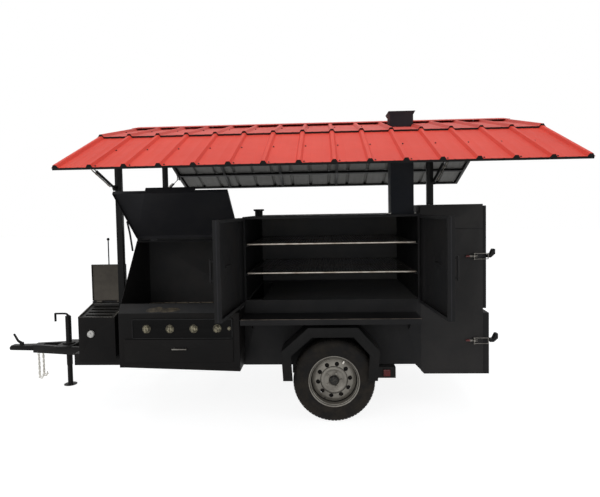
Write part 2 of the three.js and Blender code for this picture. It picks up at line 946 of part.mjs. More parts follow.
// The fixed knuckles of the left door's hinges, on a strap from the chamber's side.
function leftHingeStraps() {
  const x = chamberLeft - doorHingeOut;
  return join(...knuckleLevels.map((level) => {
    const z = [level - knuckleHeight - fitGap, level - fitGap];
    return join(
      bar([x, doorHingeY, z[0]], [x, doorHingeY, z[1]], knuckleRadius, 12),
      block([x - 6, chamberLeft - fitGap], [doorHingeY, 1 - bodyHalf], z),
      block([x - 6, chamberLeft + 1], [-bodyHalf, 40 - bodyHalf], z),
    );
  }));
}

function smokeChamber() {
  return join(chamberShell(), ventPipe(), ...rackLedges(), frontShelf(), leftHingeStraps());
}

// A cooking rack: a round front bar, a frame and slats.
function rack() {
  const left = openingLeft + 8;
  const right = openingRight - 8;
  const front = -rackFront;
  const back = rackFront - 20;
  const rail = (x, y) => block(x, y, [-rackBar, 5]);
  const pitch = (right - left) / (rackBarCount + 1);
  const slats = Array.from({ length: rackBarCount }, (_, i) => {
    const x = left + pitch * (i + 1);
    return block([x - rackSlat / 2, x + rackSlat / 2], [front, back], [-3, 3]);
  });
  return join(
    bar([left, front, 0], [right, front, 0], rackBar, 10),
    rail([left, left + 10], [front, back]),
    rail([right - 10, right], [front, back]),
    rail([left, right], [back - 10, back]),
    ...slats,
  );
}

// A chamber door at its hinge axis, drawn shut: hand is 1 for the left door and -1 for the right one.
function chamberDoor(hand) {
  const inner = doorHingeForward - fitGap;
  const outer = inner - doorDepth;
  const x = (from, to) => (hand > 0 ? [from, to] : [-to, -from]);
  const near = doorHingeOut;
  const far = doorHingeOut + doorWidth;
  const rim = 24;
  const pan = block(x(near, far), [outer, inner], [doorBottom, doorTop]);
  const hollow = block(
    x(near + doorSkin, far - doorSkin),
    [outer + doorSkin, inner - doorSkin],
    [doorBottom + doorSkin, doorTop - doorSkin],
  );
  const window = block(
    x(near + rim, far - rim),
    [inner - doorSkin - 1, inner + 1],
    [doorBottom + rim, doorTop - rim],
  );
  const middle = (doorBottom + doorTop) / 2;
  const stripStart = near + doorStripInset;
  const strip = block(
    x(stripStart, stripStart + doorStripLength),
    [outer + 1, outer + 14],
    [middle - 7, middle + 7],
  );
  const knuckles = knuckleLevels.map((level) => join(
    bar([0, 0, level], [0, 0, level + knuckleHeight], knuckleRadius, 12),
    block(x(0, near + 1), [-4, 4], [level, level + knuckleHeight]),
  ));
  const grip = hand * (far - 45);
  const handle = join(
    bar([grip, outer + 1, middle - 70], [grip, outer - 34, middle - 70], 6),
    bar([grip, outer + 1, middle + 70], [grip, outer - 34, middle + 70], 6),
    bar([grip, outer - 34, middle - 85], [grip, outer - 34, middle + 85], 8),
  );
  return join(cut(pan, hollow, window), strip, ...knuckles, handle);
}

function squareFrustum(bottomSide, topSide, [z0, z1]) {
  const form = new THREE.CylinderGeometry(topSide / Math.SQRT2, bottomSide / Math.SQRT2, z1 - z0, 4);
  form.rotateY(Math.PI / 4);
  form.rotateX(Math.PI / 2);
  form.translate(0, 0, (z0 + z1) / 2);
  return solid(form);
}

function chimney() {
  const foot = chamberTop + fitGap;
  const neck = chimneyTop - chimneyFlareHeight;
  const half = chimneySide / 2;
  const inner = half - plate;
  const flange = half + chimneyFlange;
  const mouth = chimneySide + 2 * chimneyFlare;
  const outside = join(
    block([-flange, flange], [-flange, flange], [foot, foot + 4]),
    block([-half, half], [-half, half], [foot, neck + 1]),
    squareFrustum(chimneySide, mouth, [neck, chimneyTop]),
  );
  return cut(
    outside,
    block([-inner, inner], [-inner, inner], [foot - 1, neck + 1]),
    squareFrustum(2 * inner, mouth - 2 * plate, [neck, chimneyTop + 0.5]),
  );
}

// ---------------------------------------------------------------- firebox cabinet

const latchPivotX = cabinetRight - latchPivotInset;
const latchPivotY = -bodyHalf - 25;
const latchPinX = -20;
const latchPinY = -12;
const sideHingeX = cabinetRight + fitGap + doorBarrelRadius;
const sideHingeY = bodyHalf + doorBarrelRadius + sideDoorHingeOut;
const sideDoorSpans = { upper: [upperDoorBottom, upperDoorTop], fire: [cabinetBottom, fireDoorTop] };

function cabinetWalls() {
  const outline = [
    [cabinetLeft, cabinetBottom + cabinetToe], [cabinetLeft + cabinetToe, cabinetBottom],
    [cabinetRight, cabinetBottom], [cabinetRight, cabinetTop], [cabinetLeft, cabinetTop],
  ];
  const left = cabinetLeft + plate;
  const right = cabinetRight + 1;
  const firebox = prismXZ([
    [left, cabinetBottom + cabinetToe + 2], [left + cabinetToe - 1, cabinetBottom + plate],
    [right, cabinetBottom + plate], [right, cabinetDeck - plate], [left, cabinetDeck - plate],
  ], wallInside);
  const warmer = block([left, right], wallInside, [cabinetDeck, cabinetTop - plate]);
  const port = block([cabinetLeft - 1, left + 1], [-flueLength / 2, flueLength / 2], portHeight);
  const heatHole = block(
    [left + heatHoleInset, left + heatHoleInset + heatHoleWidth],
    [-heatHoleHalf, heatHoleHalf],
    [cabinetDeck - plate - 1, cabinetDeck + 1],
  );
  return cut(prismXZ(outline, [-bodyHalf, bodyHalf]), firebox, warmer, port, heatHole);
}

function grateLedges() {
  const z = [grateLevel - grateBar - fitGap - plate, grateLevel - grateBar - fitGap];
  const x = [cabinetLeft + 40, cabinetRight - 30];
  return sides.map(([, sign]) => block(x, onSide(sign, wallInside[1] - 40, wallInside[1] + 1), z));
}

// The right chamber door hangs on straps across the cabinet's face.
function rightHingeStraps() {
  const x = chamberRight + doorHingeOut;
  return knuckleLevels.map((level) => {
    const z = [level - knuckleHeight - fitGap, level - fitGap];
    return join(
      bar([x, doorHingeY, z[0]], [x, doorHingeY, z[1]], knuckleRadius, 12),
      block([x - 5, x + 5], [doorHingeY, 1 - bodyHalf], z),
      block([x - 5, x + 70], [-bodyHalf - 5, 1 - bodyHalf], z),
    );
  });
}

// The foot of a toggle clamp with its two ears and pivot pin.
function latchFoot(level) {
  const ear = (sign) => block(
    [latchPivotX - 12, latchPivotX + 12],
    [latchPivotY - 7, 1 - bodyHalf],
    sign < 0 ? [level - 15, level - 11] : [level + 11, level + 15],
  );
  return join(
    block(
      [latchPivotX - 28, latchPivotX + 28],
      [-bodyHalf - 8, 1 - bodyHalf],
      [level - 18, level + 18],
    ),
    ear(-1),
    ear(1),
    bar([latchPivotX, latchPivotY, level - 12], [latchPivotX, latchPivotY, level + 12], 4),
  );
}

// The fixed knuckles of a side door's hinges, behind the cabinet.
function sideDoorKnuckles(span) {
  return knucklePlaces(span).map(([z0, z1]) => {
    const z = [z0 - 60 - fitGap, z0 - fitGap];
    return join(
      bar([sideHingeX, sideHingeY, z[0]], [sideHingeX, sideHingeY, z[1]], doorBarrelRadius, 12),
      block([cabinetRight - 50, cabinetRight - 1], [bodyHalf - 1, bodyHalf + 6], z),
      block([cabinetRight - 2, sideHingeX], [bodyHalf + 1, bodyHalf + 6], z),
    );
  });
}

function knucklePlaces([bottom, top]) {
  return [[bottom + 90, bottom + 150], [top - 100, top - 40]];
}

function cabinetShell() {
  return join(
    cabinetWalls(),
    ...grateLedges(),
    ...rightHingeStraps(),
    latchFoot(upperLatchLevel),
    latchFoot(lowerLatchLevel),
    ...sideDoorKnuckles(sideDoorSpans.upper),
    ...sideDoorKnuckles(sideDoorSpans.fire),
  );
}

// A side door at its hinge axis, drawn shut, with the catch for its clamp on the front edge.
function sideDoor(span, depth, latchLevel) {
  const inner = fitGap + cabinetRight - sideHingeX;
  const outer = inner + depth;
  const rear = bodyHalf - sideHingeY;
  const front = -bodyHalf - sideHingeY;
  const pan = block([inner, outer], [front, rear], span);
  const hollow = block(
    [inner - 1, outer - doorSkin],
    [front + doorSkin, rear - doorSkin],
    [span[0] + doorSkin, span[1] - doorSkin],
  );
  const half = catchHeight / 2;
  const catchShape = [
    [outer - 1, latchLevel - half], [outer + catchReach - 10, latchLevel - half],
    [outer + catchReach + 24, latchLevel + 18],
    [outer + catchReach + 24, latchLevel + catchRise + half],
    [outer + catchReach + 6, latchLevel + catchRise + half],
    [outer + catchReach - 16, latchLevel + half], [outer - 1, latchLevel + half],
  ];
  const keeper = prismXZ(catchShape, [front - 32, front + 20]);
  const knuckles = knucklePlaces(span).map(([z0, z1]) => join(
    bar([0, 0, z0], [0, 0, z1], doorBarrelRadius, 12),
    block([inner, 4], [rear - 1, 0], [z0, z1]),
  ));
  return join(cut(pan, hollow), keeper, ...knuckles);
}

function fireGrate() {
  const half = wallInside[1] - 4;
  const x = [cabinetLeft + 30, cabinetRight - 20];
  const z = [grateLevel - grateBar, grateLevel];
  const pitch = (x[1] - x[0] - grateBar) / (grateBarCount - 1);
  const bars = Array.from({ length: grateBarCount }, (_, i) => {
    const left = x[0] + pitch * i;
    return block([left, left + grateBar], [-half, half], z);
  });
  return join(...bars, ...[-grateTiePlace, grateTiePlace].map((y) => block(x, [y - 8, y + 8], z)));
}

// The clamp's lever at its pivot, with the pin that carries its hook.
function latchLever() {
  const body = join(
    block([-latchHandleLength, 8], [-6, 6], [-8, 8]),
    block([latchPinX - 7, latchPinX + 7], [latchPinY - 6, 0], [-8, 8]),
    bar([latchPinX, latchPinY, -28], [latchPinX, latchPinY, 28], 3.5),
  );
  return cut(body, bar([0, 0, -9], [0, 0, 9], 4 + fitGap, 12));
}

// The clamp's hook at its pin: two wires joined by a bar in front of the catch.
function latchHook() {
  const wireZ = 23;
  const eye = (sign) => {
    const z = sign < 0 ? [-26, -20] : [20, 26];
    return cut(
      bar([0, 0, z[0]], [0, 0, z[1]], 8, 10),
      bar([0, 0, z[0] - 1], [0, 0, z[1] + 1], 3.5 + fitGap, 12),
    );
  };
  const wire = (sign) => bar(
    [6, 0, sign * wireZ],
    [latchHookReach, 0, sign * wireZ],
    latchWireRadius,
    8,
  );
  const end = bar([latchHookReach, 0, -wireZ - 3], [latchHookReach, 0, wireZ + 3], latchWireRadius, 8);
  return join(eye(-1), eye(1), wire(-1), wire(1), end);
}

// ---------------------------------------------------------------- gas grill

const hoodAxisY = hoodHingeY + 6;
const hoodAxisZ = grillTop + 12;
const slopeLength = Math.hypot(hoodHingeY - grillFront, grillTop - grillRim);
const slopeY = (hoodHingeY - grillFront) / slopeLength;
const slopeZ = (grillTop - grillRim) / slopeLength;
const panelFace = grillFront - panelDepth;
const grillInside = [grillLeft + plate, grillRight - plate];
const hoodKnuckle = 60;
const hoodKnuckleInset = 120;
const hoodKnuckleStarts = [
  grillLeft + hoodKnuckleInset,
  grillHoodRight - hoodKnuckleInset - hoodKnuckle,
];
const hoodKnuckles = hoodKnuckleStarts.map((x) => [x, x + hoodKnuckle]);

// A point on the grill's slanted front edge, pushed out by a distance.
function onSlope(along, out) {
  return [grillFront + slopeY * along - slopeZ * out, grillRim + slopeZ * along + slopeY * out];
}

function grillCasing() {
  const lower = block([grillLeft, grillRight], [grillFront, grillBack], [grillBottom, grillRim]);
  const upper = prismYZ([
    [grillFront, grillRim - 1], [grillFront, grillRim], [hoodHingeY, grillTop],
    [grillBack, grillTop], [grillBack, grillRim - 1],
  ], [grillLeft, grillHoodRight]);
  const backInside = grillBack - plate;
  const frontInside = grillFront + plate;
  const lowerHollow = block(
    grillInside,
    [frontInside, backInside],
    [grillBottom + plate, grillRim - plate],
  );
  const upperHollow = prismYZ([
    [frontInside + 2, grillRim - plate - 1],
    onSlope(6, -plate - 1), onSlope(90, -plate), onSlope(90, 12),
    onSlope(slopeLength - 18, 12), onSlope(slopeLength - 18, -plate - 4),
    [hoodHingeY + 6, grillTop - plate],
    [backInside, grillTop - plate], [backInside, grillRim - plate - 1],
  ], [grillLeft + plate, grillHoodRight - plate]);
  return cut(join(lower, upper), lowerHollow, upperHollow);
}

function controlPanel() {
  const z = [panelBottom, panelBottom + panelHeight];
  const x = [panelLeft, panelLeft + panelWidth];
  return {
    shell: block(x, [panelFace, grillFront + 1], z),
    hollow: block(
      [x[0] + plate, x[1] - plate],
      [panelFace + plate, grillFront + plate + 1],
      [z[0] + plate, z[1] - plate],
    ),
  };
}

// The sloping grease tray and its angle-iron edge, under the front of the grill.
function greaseTray() {
  const top = grillBottom + 1;
  const y = [grillFront + 6, grillFront + trayDepth];
  const outline = (inset) => [
    [grillLeft + inset, top + 2 * inset], [grillLeft + inset, grillBottom - trayRise + inset],
    [grillRight - inset, grillBottom - trayFall + inset], [grillRight - inset, top + 2 * inset],
  ];
  return {
    shell: join(
      prismXZ(outline(0), y),
      block([grillLeft, grillRight], [grillFront, grillFront + plate], [grillBottom - trayRise, top]),
    ),
    hollow: prismXZ(outline(2), [y[0] + 2, y[1] - 2]),
    drain: block(
      [grillLeft + 60, grillRight - 60],
      [y[0] + 60, y[1] - 40],
      [grillBottom - 1, grillBottom + plate + 1],
    ),
  };
}

function grillLedges() {
  const z = griddleTop - griddleThickness - fitGap;
  const inside = [grillInside[0] - 1, grillInside[1] + 1];
  const front = grillFront + plate;
  const back = grillBack - plate;
  const runnerZ = [grillBottom + plate - 1, drawerBoxBottom - fitGap];
  const runner = (x) => block([x, x + 14], [front + 5, front + drawerBoxLength], runnerZ);
  const boxLeft = drawerLeft + drawerBoxInset;
  return [
    block(inside, [front - 1, front + griddleLedge], [z - plate, z]),
    block(inside, [back - griddleLedge, back + 1], [z - plate, z]),
    block(
      inside,
      [burnerEnd - 50, burnerEnd - 30],
      [knobLevel - burnerRadius - 30, knobLevel - burnerRadius - fitGap],
    ),
    runner(boxLeft + 10),
    runner(boxLeft + drawerWidth - 2 * drawerBoxInset - 24),
  ];
}

function manifoldRests() {
  const top = knobLevel - burnerRadius - fitGap;
  return [panelLeft + 14, panelLeft + panelWidth - 40].map((x) => block(
    [x, x + 20], [grillFront - 2, grillFront + 50], [panelBottom - 4, top],
  ));
}

function hoodHingeSeats() {
  return hoodKnuckles.map(([from, to]) => {
    const x = [from - hoodKnuckle - fitGap, from - fitGap];
    return join(
      bar([x[0], hoodAxisY, hoodAxisZ], [x[1], hoodAxisY, hoodAxisZ], hoodBarrelRadius, 12),
      block(x, [hoodAxisY, hoodAxisY + 7], [grillTop - 1, hoodAxisZ]),
    );
  });
}

function grillBody() {
  const panel = controlPanel();
  const tray = greaseTray();
  const boxLeft = drawerLeft + drawerBoxInset;
  const drawerMouth = block(
    [boxLeft - runGap, boxLeft + drawerWidth - 2 * drawerBoxInset + runGap],
    [grillFront - 1, grillFront + plate + 1],
    [drawerBoxBottom - runGap, drawerBoxBottom + drawerBoxHeight + runGap],
  );
  const holes = knobPlaces.map((x) => bar(
    [x, panelFace - 1, knobLevel], [x, panelFace + plate + 1, knobLevel], knobShaftRadius + fitGap, 12,
  ));
  const igniterHole = bar(
    [igniterX, panelFace - 1, knobLevel],
    [igniterX, panelFace + plate + 1, knobLevel],
    6 + fitGap,
    16,
  );
  const casing = join(grillCasing(), panel.shell, tray.shell);
  const open = cut(casing, panel.hollow, tray.hollow, tray.drain, drawerMouth, ...holes, igniterHole);
  return join(open, ...grillLedges(), ...manifoldRests(), ...hoodHingeSeats());
}

// The hood at its hinge, drawn flat towards the front with its hollow side down.
function grillHood() {
  const under = -2.5;
  const top = under + hoodDepth;
  const front = -hoodLength;
  const x = [grillLeft, grillHoodRight];
  const middle = (grillLeft + grillHoodRight) / 2;
  const half = hoodHandleWidth / 2;
  const pan = block(x, [front, -14], [under, top]);
  const hollow = block(
    [x[0] + doorSkin, x[1] - doorSkin],
    [front + doorSkin, -16],
    [under - 1, top - doorSkin],
  );
  const handle = block(
    [middle - half, middle + half],
    [front - 1, front + 3],
    [top - 4, top + hoodHandleHeight],
  );
  const knuckles = hoodKnuckles.map(([from, to]) => join(
    bar([from, 0, 0], [to, 0, 0], hoodBarrelRadius, 12),
    block([from, to], [-15, 0], [under, 4]),
  ));
  const stayX = grillLeft - 8;
  const stay = join(
    bar([grillLeft + 1, -250, 8], [stayX - 3, -250, 8], 5),
    bar([stayX, -250, 8], [stayX, -150, -40], 5, 8),
    bar([stayX, -150, -40], [stayX, -20, -130], 5, 8),
  );
  return join(cut(pan, hollow), handle, ...knuckles, stay);
}

function knob() {
  const dial = turned([
    [0, knobDepth], [knobRadius - 7, knobDepth],
    [knobRadius - 3, knobDepth - 4], [knobRadius, 8], [knobRadius, 0],
    [knobShaftRadius, 0], [knobShaftRadius, -24], [0, -24],
  ], 12);
  return join(dial, block([-5, 5], [4 - knobRadius, knobRadius - 4], [knobDepth - 8, knobDepth + 8]));
}

function igniterButton() {
  return turned([
    [0, igniterReach], [igniterRadius - 1, igniterReach],
    [igniterRadius, igniterReach - 2], [igniterRadius, 3.5],
    [6, 3.5], [6, -14], [0, -14],
  ], 12);
}

function cookingGrate() {
  const z = [griddleTop - griddleThickness, griddleTop];
  const x = [grillInside[0] + runGap, grillInside[1] - runGap];
  const y = [grillFront + plate + runGap, grillBack - plate - runGap];
  const pitch = (x[1] - x[0] - cookingBar) / (cookingBarCount - 1);
  const bars = Array.from({ length: cookingBarCount }, (_, i) => {
    const left = x[0] + pitch * i;
    return block([left, left + cookingBar], y, z);
  });
  const crosses = [y[0], y[1] - cookingBar].map((low) => block(x, [low, low + cookingBar], z));
  return join(...bars, ...crosses);
}

function burners() {
  const y = grillFront + 26;
  const ends = [panelLeft + 8, panelLeft + panelWidth - 8];
  const tubes = knobPlaces.map((x) => bar([x, y, knobLevel], [x, burnerEnd, knobLevel], burnerRadius));
  return join(bar([ends[0], y, knobLevel], [ends[1], y, knobLevel], burnerRadius), ...tubes);
}

function greaseDrawer() {
  const x = [drawerLeft, drawerLeft + drawerWidth];
  const faceZ = [drawerFaceBottom, drawerFaceBottom + drawerFaceHeight];
  const front = grillFront - panelDepth;
  const face = cut(
    block(x, [front, grillFront - fitGap], faceZ),
    block([x[0] + 2, x[1] - 2], [front + 2, grillFront], [faceZ[0] + 2, faceZ[1] - 2]),
  );
  const boxX = [x[0] + drawerBoxInset, x[1] - drawerBoxInset];
  const boxY = [front + 1, grillFront + drawerBoxLength];
  const boxZ = [drawerBoxBottom, drawerBoxBottom + drawerBoxHeight];
  const box = cut(
    block(boxX, boxY, boxZ),
    block([boxX[0] + 2, boxX[1] - 2], [boxY[0] + 3, boxY[1] - 2], [boxZ[0] + 2, boxZ[1] + 1]),
  );
  const half = drawerHandleWidth / 2;
  const grip = front - 30;
  const post = (at) => bar([at, front + 1, drawerHandleLevel], [at, grip, drawerHandleLevel], 5);
  const handle = bar(
    [drawerHandleX - half, grip, drawerHandleLevel], [drawerHandleX + half, grip, drawerHandleLevel], 6,
  );
  return join(face, box, post(drawerHandleX - half + 12), post(drawerHandleX + half - 12), handle);
}

// ---------------------------------------------------------------- fryer

const fryerAxisY = fryerBack - 37;
const fryerAxisZ = fryerBackRim + 10;
const fryerKnuckle = 50;
const fryerKnuckleInset = 40;
const fryerKnuckleStarts = [
  fryerLeft + fryerKnuckleInset,
  fryerRight - fryerKnuckleInset - fryerKnuckle,
];
const fryerKnuckles = fryerKnuckleStarts.map((x) => [x, x + fryerKnuckle]);

function fryerBody() {
  const bottom = railTop + fitGap;
  const x = [fryerLeft, fryerRight];
  const inside = [fryerLeft + plate, fryerRight - plate];
  const shell = prismYZ([
    [fryerFront, bottom], [fryerFront, fryerRim], [fryerBack - 40, fryerBackRim],
    [fryerBack, fryerBackRim], [fryerBack, bottom],
  ], x);
  const tank = prismYZ([
    [fryerFront + plate, fryerFloor], [fryerFront + plate, fryerRim + 30],
    [fryerBack - 46, fryerBackRim + 30],
    [fryerBack - 46, fryerFloor],
  ], inside);
  const under = block(
    inside,
    [fryerFront + plate, fryerBack - plate],
    [bottom - 1, fryerFloor - plate],
  );
  const apron = block(x, [fryerFront, fryerFront + plate], [fryerApronBottom, bottom + 1]);
  const dialHole = bar(
    [fryerDialX, fryerFront - 1, fryerDialLevel],
    [fryerDialX, fryerFront + 6, fryerDialLevel],
    5 + fitGap,
    12,
  );
  const cover = prismYZ([
    [fryerFront + 1, fryerRim - 16], [fryerBack - 45, fryerBackRim - 14],
    [fryerBack - 45, fryerBackRim - 12],
    [fryerFront + 1, fryerRim - 14],
  ], [inside[0] - 1, inside[1] + 1]);
  const drains = fryerSlots.map((y) => block(
    [fryerLeft + fryerSlotInset, fryerRight - fryerSlotInset],
    [fryerFront + y, fryerFront + y + fryerSlotWidth], [fryerRim - 30, fryerBackRim],
  ));
  const seat = hingeSeat(fryerAxisY, fryerAxisZ, fryerBackRim);
  return join(cut(shell, tank, under, dialHole), apron, cut(cover, ...drains), ...seat);
}

function hingeSeat(y, z, base) {
  return fryerKnuckles.map(([from, to]) => join(
    bar([to + fitGap, y, z], [to + 25, y, z], 7, 12),
    block([to + fitGap, to + 25], [y, y + 6], [base - 1, z]),
  ));
}

// The fryer lid at its hinge, drawn flat towards the front with its hollow side down.
function fryerLid() {
  const x = [fryerLeft + 2, fryerRight - 2];
  const under = -4;
  const top = under + fryerLidDepth;
  const front = -fryerLidLength;
  const middle = (x[0] + x[1]) / 2;
  const pan = block(x, [front, -12], [under, top]);
  const hollow = block([x[0] + 2, x[1] - 2], [front + 2, -14], [under - 1, top - 2]);
  const knuckles = fryerKnuckles.map(([from, to]) => join(
    bar([from, 0, 0], [to, 0, 0], 7, 12),
    block([from, to], [-13, 0], [under, 3]),
  ));
  const rodZ = top - 6;
  const rod = bar([middle, front + 1, rodZ], [middle, front - fryerRodHeight, rodZ], 4, 8);
  const ballForm = new THREE.SphereGeometry(fryerBallRadius, 10, 6);
  const ball = solid(ballForm.translate(middle, front - fryerRodHeight, rodZ));
  return join(cut(pan, hollow), ...knuckles, rod, ball);
}

function fryerDial() {
  return turned([
    [0, fryerDialDepth], [fryerDialRadius - 5, fryerDialDepth],
    [fryerDialRadius, 6], [fryerDialRadius, 0],
    [5, 0], [5, -12], [0, -12],
  ], 12);
}

// ---------------------------------------------------------------- roof

const gableSlope = Math.tan(gableAngle);
const strutXs = [leftPostX - postSide / 2 + strutInset, rightPostX + postSide / 2 - strutInset];
const beamOuter = hingeY - 20;

// The height of the roof frame's top under the sheet, at a distance from the ridge.
function frameTop(distance) {
  return ridgeZ - distance * gableSlope - fitGap / Math.cos(gableAngle);
}

// The section of the ribbed sheet across its ribs, centred on X = 0.
function sheetOutline() {
  const half = (roofRight - roofLeft) / 2;
  const ribs = Array.from({ length: roofPitches + 1 }, (_, i) => (i - roofPitches / 2) * roofPitch);
  const line = (rise) => ribs.flatMap((x) => [
    [x - ribBase / 2, rise], [x - ribCrest / 2, rise + ribHeight],
    [x + ribCrest / 2, rise + ribHeight], [x + ribBase / 2, rise],
  ]);
  const over = [[-half, roofingThickness], ...line(roofingThickness), [half, roofingThickness]];
  const below = [[-half, 0], ...line(0), [half, 0]];
  return below.concat(over.reverse());
}

// A ribbed sheet that starts at the origin and runs down a slope towards -Y.
function ribbedSheet(start, length, angle) {
  const form = new THREE.ExtrudeGeometry(
    outlineShape(sheetOutline()),
    { depth: length, bevelEnabled: false },
  );
  form.translate(0, 0, start);
  const along = new THREE.Vector3(0, -Math.cos(angle), -Math.sin(angle));
  const out = new THREE.Vector3(0, -Math.sin(angle), Math.cos(angle));
  form.applyMatrix4(new THREE.Matrix4().makeBasis(new THREE.Vector3(1, 0, 0), out, along));
  return form;
}

function roofSheet() {
  const length = hingeY / Math.cos(gableAngle) + 12;
  const front = ribbedSheet(ridgeLap, length - ridgeLap, gableAngle);
  const back = front.clone().rotateZ(Math.PI);
  const crest = ribHeight + roofingThickness - 0.2;
  const capZ = crest / Math.cos(gableAngle);
  const lift = capThickness / Math.cos(gableAngle);
  const cap = prismYZ([
    [-capHalf, capZ - capHalf * gableSlope], [0, capZ], [capHalf, capZ - capHalf * gableSlope],
    [capHalf, capZ + lift - capHalf * gableSlope], [0, capZ + lift],
    [-capHalf, capZ + lift - capHalf * gableSlope],
  ], [roofLeft - roofMiddle, roofRight - roofMiddle]);
  const half = chimneySide / 2 + chimneyClearance;
  const x = chimneyX - roofMiddle;
  const hole = block([x - half, x + half], [chimneyY - half, chimneyY + half], [-hingeY, hingeY]);
  return cut(join(solid(front), solid(back), cap), hole);
}

function rafterPair(x) {
  const depth = beamHeight;
  const outline = [
    [-beamOuter, frameTop(beamOuter)], [0, frameTop(0)], [beamOuter, frameTop(beamOuter)],
    [beamOuter, frameTop(beamOuter) - depth], [0, frameTop(0) - depth],
    [-beamOuter, frameTop(beamOuter) - depth],
  ];
  return prismYZ(outline, [x - 3, x + 3]);
}

function eaveBeam(sign) {
  const top = frameTop(beamOuter);
  const x = [roofLeft + 6, roofRight - 6];
  return join(
    block(x, onSide(sign, beamOuter - postWall, beamOuter), [top - beamHeight, top]),
    block(
      x,
      onSide(sign, beamOuter - beamWidth, beamOuter),
      [top - beamHeight, top - beamHeight + postWall],
    ),
  );
}

function headerBeam(sign) {
  const top = frameTop(railOuter);
  return block(
    [leftPostX, rightPostX],
    onSide(sign, postCentre - 2, postCentre + 2),
    [top - beamHeight - 20, top - 4],
  );
}

function post(x, bottom, sign) {
  const half = postSide / 2;
  const span = onSide(sign, postCentre - half, postCentre + half);
  const top = frameTop(railOuter);
  const inner = half - postWall;
  const hollow = onSide(sign, postCentre - inner, postCentre + inner);
  return cut(
    block([x - half, x + half], span, [bottom, top]),
    block([x - inner, x + inner], hollow, [bottom - 1, top - beamHeight - 30]),
  );
}

// The two ears and pin that carry a strut's lower end, on a post's outer face.
function strutFoot(x, sign) {
  const reach = strutEyeWidth / 2 + 1;
  const ear = (side) => block(
    side < 0 ? [x - reach - strutEarThickness, x - reach] : [x + reach, x + reach + strutEarThickness],
    onSide(sign, railOuter - 1, strutLowerY + 10),
    [strutLowerZ - 14, strutLowerZ + 14],
  );
  return join(
    block(
      [x - 20, x + 20],
      onSide(sign, railOuter - 1, railOuter + 6),
      [strutLowerZ - 24, strutLowerZ + 24],
    ),
    ear(-1),
    ear(1),
    bar(
      [x - reach - 1, sign * strutLowerY, strutLowerZ],
      [x + reach + 1, sign * strutLowerY, strutLowerZ],
      strutPinRadius,
    ),
  );
}

function roofFrame() {
  const rafters = [roofLeft + 12, leftPostX, -500, rightPostX, roofRight - 12].map(rafterPair);
  const posts = sides.flatMap(([, sign]) => [
    post(leftPostX, railTop + fitGap, sign),
    post(rightPostX, cabinetTop + fitGap, sign),
  ]);
  const feet = sides.flatMap(([, sign]) => strutXs.map((x) => strutFoot(x, sign)));
  const ridge = block(
    [roofLeft + 6, roofRight - 6],
    [-3, 3],
    [frameTop(0) - beamHeight - 8, frameTop(3) - 1],
  );
  const beams = sides.flatMap(([, sign]) => [eaveBeam(sign), headerBeam(sign), ...frameKnuckles(sign)]);
  return join(...posts, ...rafters, ridge, ...beams, ...feet);
}

// ---------------------------------------------------------------- flaps

// A flap is drawn level and running towards -Y from its hinge, with its sheet on top of its frame.
const flapAxisZ = hingeZ - hingeDrop;
const flapSheetZ = hingeDrop * Math.cos(flapTilt);
const flapFrameTop = flapSheetZ - fitGap;
const flapFrameBottom = flapFrameTop - flapFrameHeight;
const flapX = [roofLeft - roofMiddle, roofRight - roofMiddle];

// The level of a strut's upper pin in the flap's own frame.
const strutPinReach = strutUpperY - hingeY;
const strutPinDepth = flapAxisZ - strutUpperZ;
const strutPinAlong = Math.cos(flapTilt) * strutPinReach + Math.sin(flapTilt) * strutPinDepth;
const strutPinDrop = Math.sin(flapTilt) * strutPinReach - Math.cos(flapTilt) * strutPinDepth;

const flapHingeSpan = flapX[1] - flapX[0] - flapHingeInset - lastHingeInset;

// Where each flap hinge starts, measured from the middle of the roof.
const flapHingePlaces = Array.from(
  { length: hingeCount },
  (_, i) => flapX[0] + flapHingeInset + (i * flapHingeSpan) / (hingeCount - 1),
);

// The knuckles on the roof frame that the flap's hinge leaves turn between.
function frameKnuckles(sign) {
  return flapHingePlaces.map((place) => {
    const x = [roofMiddle + place + hingeLeaf + fitGap, roofMiddle + place + hingeLeaf + 40];
    return join(
      bar([x[0], sign * hingeY, flapAxisZ], [x[1], sign * hingeY, flapAxisZ], hingeBarrelRadius),
      block(x, onSide(sign, beamOuter - 1, hingeY), [flapAxisZ - 2, flapAxisZ + 2]),
    );
  });
}

function flapMember(x, y) {
  return {
    outer: block(x, y, [flapFrameBottom, flapFrameTop]),
    hollow: block(
      [x[0] + flapWall, x[1] - flapWall], [y[0] + flapWall, y[1] - flapWall],
      [flapFrameBottom + flapWall, flapFrameTop + 1],
    ),
  };
}

// An angle iron between the channels, centred on a place along the flap.
function flapAngleIron(middle, y) {
  const half = flapFrameWidth / 2;
  const bottom = flapFrameBottom + 1;
  return join(
    block([middle - half, middle - half + plate], y, [bottom, flapFrameTop - 1]),
    block([middle - half, middle + half], y, [bottom, bottom + 2]),
  );
}

// The bracket under the flap for a strut's upper end. Its pin stops short of the rod's eye.
function strutHead(x) {
  const reach = strutEyeWidth / 2 + 1;
  const ear = (side) => block(
    side < 0 ? [x - reach - strutEarThickness, x - reach] : [x + reach, x + reach + strutEarThickness],
    [-strutPinAlong - 16, -strutPinAlong + 16],
    [strutPinDrop - 12, flapFrameBottom + 1],
  );
  const plateTop = block(
    [x - 22, x + 22],
    [-strutPinAlong - 20, -strutPinAlong + 20],
    [flapFrameBottom - 4, flapFrameBottom + 1],
  );
  return join(ear(-1), ear(1), plateTop);
}

